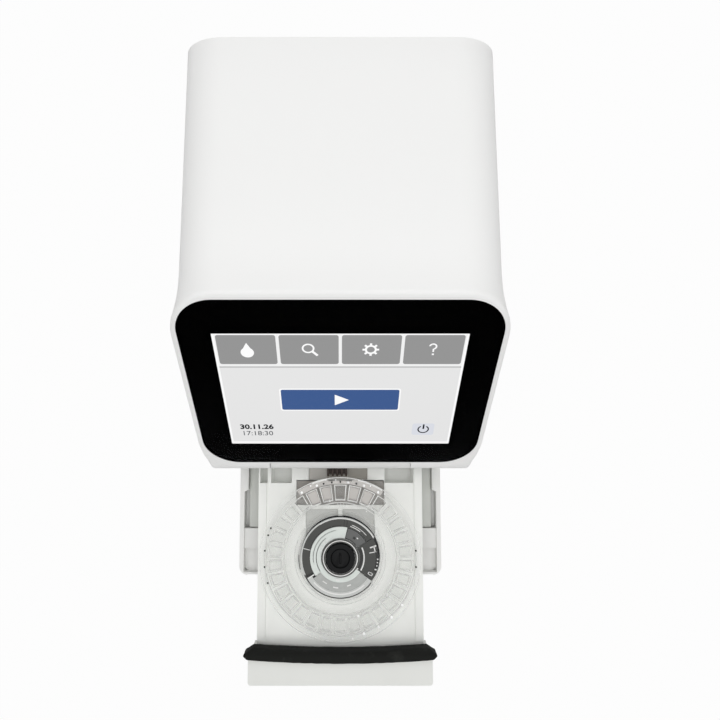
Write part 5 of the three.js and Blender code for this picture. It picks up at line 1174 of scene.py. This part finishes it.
HUB_INSERTS = (
    ("hub_pale_ring", "ring_pale", 0, ((10.5, 16.5, 76, 216), (10.5, 13.2, 216, 325))),
    ("hub_code_ring", "ring_dark", 0, (
        (16.7, 20.7, 31, 165.4), (16.7, 20.7, 166.8, 210), (10.5, 20.7, -35, 30))),
    ("hub_wedge", "wedge_grey", 0, ((10.5, 16.6, 31, 75),)),
    ("hub_grey_band", "ring_grey", 0, (
        (13.3, 18.1, 217, 324), (12.9, 13.25, 128, 214), (14.6, 14.9, 100, 190))),
    ("hub_light_band", "ring_light", 0, ((18.2, 21.0, 213, 324), (20.8, 21.6, 31, 206))),
    ("hub_black_lines", "ring_black", 1, (
        (21.1, 21.6, 205, 322), (16.2, 16.6, 31, 76), (10.6, 11.0, 40, 74), (10.9, 12.2, -32, 24),
        (10.5, 16.6, 74.6, 76.4), (16.7, 20.7, 206.5, 210), (19.3, 20.7, -22, 12),
        (16.9, 20.5, 78, 79), (16.9, 20.5, 83, 84), (12.3, 13.5, 51, 57), (16.7, 17.2, 88, 160),
        (22.4, 22.8, 176, 196))),
    ("hub_print_and_highlights", "print_and_highlight_white", 2, (
        (12.6, 13.3, -31, 25), (18.9, 19.7, 222, 312), (16.7, 20.9, 211, 213.2), (16.7, 20.7, 165.6, 166.6),
        (20.7, 21.1, 30, 122), (17.0, 20.6, 17, 19.4), (16.0, 19.8, 8.5, 10), (18.9, 19.5, 8.5, 19),
        (20.0, 20.7, -3, -1.4), (20.0, 20.7, -8, -6.4), (20.0, 20.7, -13, -11.4), (19.6, 20.7, -19, -17),
        (17.0, 19.6, -26, -25), (17.0, 19.6, -30, -29), (17.0, 17.5, -30, -25), (19.2, 19.7, -30, -25),
        (17.4, 17.8, 52, 72), (18.4, 18.7, 40, 70), (13.6, 14.2, 46, 50), (10.6, 11.4, -30, -34),
        (11.1, 12.3, 127, 131), (11.0, 12.6, 137, 140), (11.2, 12.2, 148, 152), (10.9, 11.9, 158, 161),
        (11.0, 12.0, 112, 114), (11.2, 12.4, 258, 268), (15.2, 15.8, 232, 242), (15.6, 16.3, 256, 266),
        (15.0, 15.7, 284, 292))),
)

# Spindle: closed profiles over the hub's lowest point, and its slotted cap

TURNTABLE_PROFILE = [
    (2.6, 0), (16.2, 0), (16.5, 0.3), (16.5, 2.6), (16.2, 2.9), (8.2, 2.9), (8.2, 2.4), (2.6, 2.4)]
BOSS_PROFILE = [
    (0.0, 2.45), (7.9, 2.45), (7.9, 7.3), (7.6, 7.6), (5.3, 7.6), (5.0, 7.3), (5.0, 4.6), (0.0, 4.6)]
CAP_RADIUS = 4.85
CAP_LOW = 4.6
CAP_HIGH = 7.3
CAP_SLOT_HALF = (0.5, 2.6)
CAP_SLOT_LOW = 6.6
CAP_SLOT_HIGH = 9.0


class ANALYZER_OT_reagent_disc(bpy.types.Operator):
    """Clear reagent disc with its ring of cuvettes, vents, ridges and middle chamber"""

    bl_idname = "analyzer.reagent_disc"
    bl_label = "Reagent disc"

    def execute(self, context):
        settings = context.scene.analyzer_disc
        low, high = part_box("reagent_disc")
        pitch = 360 / settings.cuvettes
        disc = spin_profile("disc_body", DISC_PROFILE, low.z, 120)
        wells = []
        for k in range(settings.cuvettes):
            middle = CLEAR_WELL + k * pitch
            wells.append(sector("well", settings.well_inner / MM, settings.well_outer / MM,
                                middle - pitch * WELL_SHARE, middle + pitch * WELL_SHARE,
                                high.z - settings.well_depth, high.z + 1 * MM, 2))
        cut(disc, join(wells, "wells"))
        smooth(disc, 30.0)
        hand_over(disc, "disc", "clear_plastic", FINISHES["styrene"], "reagent_disc")
        self.light_lines(settings.cuvettes, pitch, low.z)
        self.dots(settings.cuvettes, pitch, low.z)
        self.hub_inserts(low.z)
        return {"FINISHED"}

    def line(self, name, place, base, steps, middle=0):
        """A sector of the disc, whose angles are counted from a middle."""
        inner, outer, first, last, low, high = place
        return sector(name, inner, outer, middle + first, middle + last,
                      base + low * MM, base + high * MM, steps)

    def light_lines(self, count, pitch, base):
        """Painted highlights on the wells' frames and webs and on the edges of the rim and the channel, and
        sheets of painted light on lit well floors and the rim.
        """
        strong, faint, light_sheets = [], [], []
        for k in range(count):
            middle = (CLEAR_WELL + k * pitch) % 360
            frames = strong if BRIGHT_WELLS[0] < middle < BRIGHT_WELLS[1] else faint
            if LIT_SHEET_WELLS[0] < middle < LIT_SHEET_WELLS[1] and abs(middle - CLEAR_WELL) > 1:
                # A sheet of painted light on the well's floor
                light_sheets.append(self.line("film", WELL_LIGHT_SHEET, base, 3, middle))
            if WEB_HIGHLIGHT_WELLS[0] < middle < WEB_HIGHLIGHT_WELLS[1]:
                strong.append(self.line("web", WELL_WEB_HIGHLIGHT, base, 1, middle))
            # Each well's frame is a painted highlight on its edges, strong or faint
            frames.extend(self.line("frame", side, base, 3, middle) for side in WELL_FRAME)
        strong += [self.line("frame", place, base, 40) for place in LONG_EDGES]
        strong += [self.line("frame", place, base, 6) for place in RIM_LINES]
        light_sheets += [self.line("film", place, base, 10) for place in RIM_LIGHT_SHEETS]
        for name, lines, finish in (("well_rim_highlights", strong, "styrene_highlight"),
                                    ("faint_well_highlights", faint, "styrene_faint_highlight"),
                                    ("well_painted_light", light_sheets, "styrene_painted_light")):
            hand_over(smooth(join(lines, name)), "disc", "clear_plastic", FINISHES[finish])

    def dots(self, count, pitch, base):
        """Dots along the channel, black vent plugs and white painted glints."""
        for name, radius, size, height, finish, angles in DISC_DOTS:
            if name == "channel_dots":
                angles = [*angles, *(CHANNEL_START - pitch * k for k in range(count - CHANNEL_GAP))]
            rods = []
            for angle in angles:
                turn = math.radians(angle)
                centre = DISC_AXIS + Vector((math.cos(turn), math.sin(turn), 0.0)) * radius * MM + UP * base
                rods.append(add_rod("dot", size * MM, centre + UP * (height - DOT_DEPTH) * MM,
                                    centre + UP * height * MM, 14))
            slot = "hub_black" if finish == "hub_black" else "clear_plastic"
            hand_over(smooth(join(rods, name)), "disc", slot, FINISHES[finish])

    def hub_inserts(self, base):
        """Ridges, coloured inserts, printed lines and painted highlights round the hub, and the collars on
        it.
        """
        ridges = []
        for radius in RIDGE_RADII:
            ridges.append(spin_profile("ridge", [
                (radius, RIDGE_LOW), (radius + 0.5, RIDGE_LOW), (radius + 0.4, RIDGE_HIGH),
                (radius + 0.1, RIDGE_HIGH)], base))
        hand_over(smooth(join(ridges, "disc_ridges")), "disc", "clear_plastic", FINISHES["styrene"])
        for name, finish, layer, places in HUB_INSERTS:
            low = INSERT_LOW + INSERT_LAYER * layer
            parts = [self.line(name, (*place, low, low + INSERT_LAYER), base,
                               max(1, int(abs(place[3] - place[2]) / 3))) for place in places]
            slot = "hub_black" if finish == "ring_black" else "clear_plastic"
            hand_over(smooth(join(parts, name)), "disc", slot, FINISHES[finish])
        for inner, outer, low, high, slot, finish in COLLARS:
            outline = [(inner, low), (outer, low), (outer, high), (inner, high)]
            collar = spin_profile("disc_collar", outline, base, 72)
            hand_over(smooth(collar), "disc", slot, FINISHES[finish])


class ANALYZER_OT_spindle(bpy.types.Operator):
    """Black spindle hub on its pale turntable, with the motor under it"""

    bl_idname = "analyzer.spindle"
    bl_label = "Spindle"

    def execute(self, context):
        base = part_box("spindle_hub")[0].z
        turntable = spin_profile("turntable", TURNTABLE_PROFILE, base, 72)
        hand_over(smooth(turntable), "spindle", "tray_white", FINISHES["pale_insert"], "spindle_hub")
        boss = spin_profile("spindle_boss", BOSS_PROFILE, base, 72)
        hand_over(smooth(boss), "spindle", "hub_black", FINISHES["hub_black"])
        cap = add_rod("spindle_cap", CAP_RADIUS * MM, DISC_AXIS + UP * (base + CAP_LOW * MM),
                      DISC_AXIS + UP * (base + CAP_HIGH * MM), 64)
        reach = Vector((*CAP_SLOT_HALF, 0.0)) * MM
        cut(cap, add_block("cap_slot", DISC_AXIS - reach + UP * (base + CAP_SLOT_LOW * MM),
                           DISC_AXIS + reach + UP * (base + CAP_SLOT_HIGH * MM)))
        soften(cap, 0.25 * MM)
        hand_over(cap, "spindle", "hub_black", FINISHES["hub_black"])
        finish_node("spindle_shaft", FINISHES["steel"])
        refine("motor_plate", "motor_flange", "drawer", "black_metal", "anodised", 0.3 * MM)
        refine("spindle_motor", "motor_can", "drawer", "black_metal", "anodised", 0.6 * MM)
        return {"FINISHED"}


# Rear, underside and inside, with the cross recess of the screws in millimetres

CROSS_REACH = 1.7
CROSS_HALF_WIDTH = 0.3
CROSS_DEPTH = 0.7


def add_screw(node, name, axis):
    """A pan head with a cross recess, facing the rear (Y) or the table (Z)."""
    low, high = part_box(node)
    middle = (low + high) / 2
    piece = copy_of(node, name)
    for across, along in ((CROSS_REACH, CROSS_HALF_WIDTH), (CROSS_HALF_WIDTH, CROSS_REACH)):
        if axis == "Y":
            centre, reach = Vector((middle.x, high.y, middle.z)), Vector((across, CROSS_DEPTH, along)) * MM
        else:
            centre, reach = Vector((middle.x, middle.y, low.z)), Vector((across, along, CROSS_DEPTH)) * MM
        cut(piece, add_block("cross", centre - reach, centre + reach))
    smooth(piece, 40.0)
    hand_over(piece, "case", "steel", FINISHES["steel"], node)


class ANALYZER_OT_rear_fittings(bpy.types.Operator):
    """Rear panel with its vents, fan, inlet, switch, ports and screws"""

    bl_idname = "analyzer.rear_fittings"
    bl_label = "Rear fittings"

    def execute(self, context):
        refine("rear_panel", "rear_panel_plate", "case", "frame_grey", "trim_abs", 0.3 * MM, 2, 40.0)
        for node, name, body, width, slot, finish in (
                ("power_inlet", "inlet_body", "case", 0.4, "black_plastic", "black_abs"),
                ("switch_frame", "switch_body", "case", 0.3, "black_plastic", "black_abs"),
                ("power_rocker", "rocker_cap", "rocker", 0.35, "black_plastic", "black_abs"),
                ("fan_frame", "fan_body", "case", 0.3, "black_plastic", "black_abs"),
                ("fan_rotor", "fan_wheel", "fan", 0.15, "black_plastic", "black_abs"),
                ("usb_port_1", "usb_shell_1", "case", 0.12, "steel", "steel"),
                ("usb_port_2", "usb_shell_2", "case", 0.12, "steel", "steel"),
                ("network_port", "network_shell", "case", 0.2, "steel", "steel")):
            refine(node, name, body, slot, finish, width * MM, 2, 40.0)
        for number in range(1, 5):
            add_screw(f"panel_screw_{number}", f"panel_screw_head_{number}", "Y")
        return {"FINISHED"}


class ANALYZER_OT_underside(bpy.types.Operator):
    """Bottom cover, its screws and the four rubber feet"""

    bl_idname = "analyzer.underside"
    bl_label = "Underside"

    def execute(self, context):
        refine("bottom_cover", "cover_plate", "case", "frame_grey", "trim_abs", 0.3 * MM, 2, 40.0)
        for number in range(1, 5):
            add_screw(f"cover_screw_{number}", f"cover_screw_head_{number}", "Z")
            refine(f"foot_{number}", f"rubber_foot_{number}", "case", "foot_rubber", "rubber",
                   0.9 * MM, 3, 40.0)
        return {"FINISHED"}


class ANALYZER_OT_inner_parts(bpy.types.Operator):
    """Chassis, bridge, optics, boards and drive inside the case"""

    bl_idname = "analyzer.inner_parts"
    bl_label = "Inner parts"

    def execute(self, context):
        for finish, nodes in (
                ("sheet", ("chassis_plate", "chamber_bridge", "power_supply")),
                ("heater", ("heater_mat",)),
                ("anodised", ("lamp_housing", "detector_block")),
                ("board", ("lamp_board", "detector_board", "main_board")),
                ("glass", ("condenser_lens",)),
                ("black_abs", ("drawer_sensor",)),
                ("steel", ("drive_motor",)),
                ("rail_pom", ("drive_pinion",))):
            for node in nodes:
                finish_node(node, FINISHES[finish])
        return {"FINISHED"}


# Stage, in metres and degrees: each lamp's place, tilt, turn and width, and how many times weaker it is

LAMPS = (
    ("top_lamp", (0.0, -0.15, 1.7), -5, 0, 1.8, 1),
    ("front_lamp", (0.0, -1.5, 0.9), 59, 0, 1.2, 11),
    ("rear_lamp", (0.0, 1.6, 1.1), -56, 0, 1.2, 4),
    ("side_lamp", (1.5, -0.9, 0.9), 63, 59, 1.0, 14),
)
FLOOR_WIDTH = 12.0
FLOOR_DROP = 0.0002
SENSOR_WIDTH = 36.0
LENS = 30.0
PICTURE_SHIFT = 19.7 / 720
NEAREST = 0.01


class ANALYZER_OT_stage(bpy.types.Operator):
    """Pale floor, soft lamps and the camera at the picture's angle"""

    bl_idname = "analyzer.stage"
    bl_label = "Stage"

    def execute(self, context):
        scene = context.scene
        settings = scene.analyzer_stage
        bpy.ops.object.select_all(action="DESELECT")
        bpy.ops.mesh.primitive_plane_add(size=FLOOR_WIDTH, location=(0, 0, -FLOOR_DROP))
        floor = settle(bpy.context.object, "studio_floor")
        floor.data.materials.append(self.floor_paper())
        for name, place, tilt, turn, width, weaker in LAMPS:
            lamp = bpy.data.objects.new(name, bpy.data.lights.new(name, "AREA"))
            lamp.data.shape = "SQUARE"
            lamp.data.size = width
            lamp.data.energy = settings.lamp_power / weaker
            lamp.location = place
            lamp.rotation_euler = (math.radians(tilt), 0.0, math.radians(turn))
            scene.collection.objects.link(lamp)
        self.surroundings(scene, settings)
        camera = bpy.data.objects.new("studio_camera", bpy.data.cameras.new("studio_camera"))
        camera.data.sensor_fit = "HORIZONTAL"
        camera.data.sensor_width = SENSOR_WIDTH
        camera.data.lens = LENS
        camera.data.shift_x = PICTURE_SHIFT
        camera.data.clip_start = NEAREST
        camera.location = (0.0, settings.camera_setback, settings.camera_height)
        camera.rotation_euler = (settings.camera_tilt, 0.0, 0.0)
        scene.collection.objects.link(camera)
        scene.camera = camera
        scene.view_settings.view_transform = "Standard"
        return {"FINISHED"}

    def floor_paper(self):
        """White background paper: its own white shows to the camera and in gloss, and it keeps the shadow."""
        material, tree, place = start_material("Background paper")
        fibre = soft_noise(tree, place, 4.0, 2.0)
        tint = between(tree, fibre, (0.6, 0.6, 0.6, 1), (0.62, 0.62, 0.62, 1))
        paper = surface(tree, tint, 0.95, shine=0.0)
        white = add_node(tree, "ShaderNodeEmission", {"Color": WHITE, "Strength": 1.0})
        path = add_node(tree, "ShaderNodeLightPath").outputs
        either = calculate(tree, "MAXIMUM", path["Is Camera Ray"], path["Is Glossy Ray"])
        all_three = calculate(tree, "MAXIMUM", either, path["Is Transmission Ray"])
        share = calculate(tree, "MULTIPLY", all_three, 0.96)
        return end_material(material, tree, mix_shaders(tree, share, paper, white))

    def surroundings(self, scene, settings):
        """Even light from all sides, white to the camera and in gloss."""
        world = bpy.data.worlds.new("Studio")
        world.use_nodes = True
        tree = world.node_tree
        tree.nodes.clear()
        light = add_node(tree, "ShaderNodeBackground", {"Color": WHITE, "Strength": settings.ambient})
        white = add_node(tree, "ShaderNodeBackground", {"Color": WHITE, "Strength": 1.0})
        path = add_node(tree, "ShaderNodeLightPath").outputs
        mixed = mix_shaders(tree, path["Is Camera Ray"], light, white)
        add_node(tree, "ShaderNodeOutputWorld", links={"Surface": mixed.outputs[0]})
        scene.world = world


class ANALYZER_PT_panel(bpy.types.Panel):
    """Lists the analyzer's pieces and settings"""

    bl_idname = "ANALYZER_PT_panel"
    bl_label = "Blood chemistry analyzer"
    bl_space_type = "VIEW_3D"
    bl_region_type = "UI"
    bl_category = "Analyzer"

    def draw(self, context):
        layout = self.layout
        for settings in (context.scene.analyzer_case, context.scene.analyzer_screen,
                         context.scene.analyzer_drawer, context.scene.analyzer_disc,
                         context.scene.analyzer_stage):
            box = layout.box()
            for key in settings.__annotations__:
                box.prop(settings, key)
        for operator in STEPS:
            layout.operator(operator.bl_idname)


STEPS = (
    ANALYZER_OT_stage,
    ANALYZER_OT_upper_shell,
    ANALYZER_OT_base_housing,
    ANALYZER_OT_screen,
    ANALYZER_OT_display_marks,
    ANALYZER_OT_drawer,
    ANALYZER_OT_reagent_disc,
    ANALYZER_OT_spindle,
    ANALYZER_OT_rear_fittings,
    ANALYZER_OT_underside,
    ANALYZER_OT_inner_parts,
)
SETTINGS = {
    "analyzer_case": CaseSettings,
    "analyzer_screen": ScreenSettings,
    "analyzer_drawer": DrawerSettings,
    "analyzer_disc": DiscSettings,
    "analyzer_stage": StageSettings,
}


def register():
    for kind in SETTINGS.values():
        bpy.utils.register_class(kind)
    for kind in STEPS + (ANALYZER_PT_panel,):
        bpy.utils.register_class(kind)
    for name, kind in SETTINGS.items():
        setattr(bpy.types.Scene, name, bpy.props.PointerProperty(type=kind))


def unregister():
    for name in SETTINGS:
        delattr(bpy.types.Scene, name)
    for kind in (ANALYZER_PT_panel,) + tuple(reversed(STEPS)):
        bpy.utils.unregister_class(kind)
    for kind in reversed(list(SETTINGS.values())):
        bpy.utils.unregister_class(kind)


def main():
    """Builds every piece in order."""
    register()
    make_finishes(bpy.context.scene)
    bpy.ops.analyzer.stage()
    bpy.ops.analyzer.upper_shell()
    bpy.ops.analyzer.base_housing()
    bpy.ops.analyzer.screen()
    bpy.ops.analyzer.display_marks()
    bpy.ops.analyzer.drawer()
    bpy.ops.analyzer.reagent_disc()
    bpy.ops.analyzer.spindle()
    bpy.ops.analyzer.rear_fittings()
    bpy.ops.analyzer.underside()
    bpy.ops.analyzer.inner_parts()


if __name__ == "__main__":
    main()
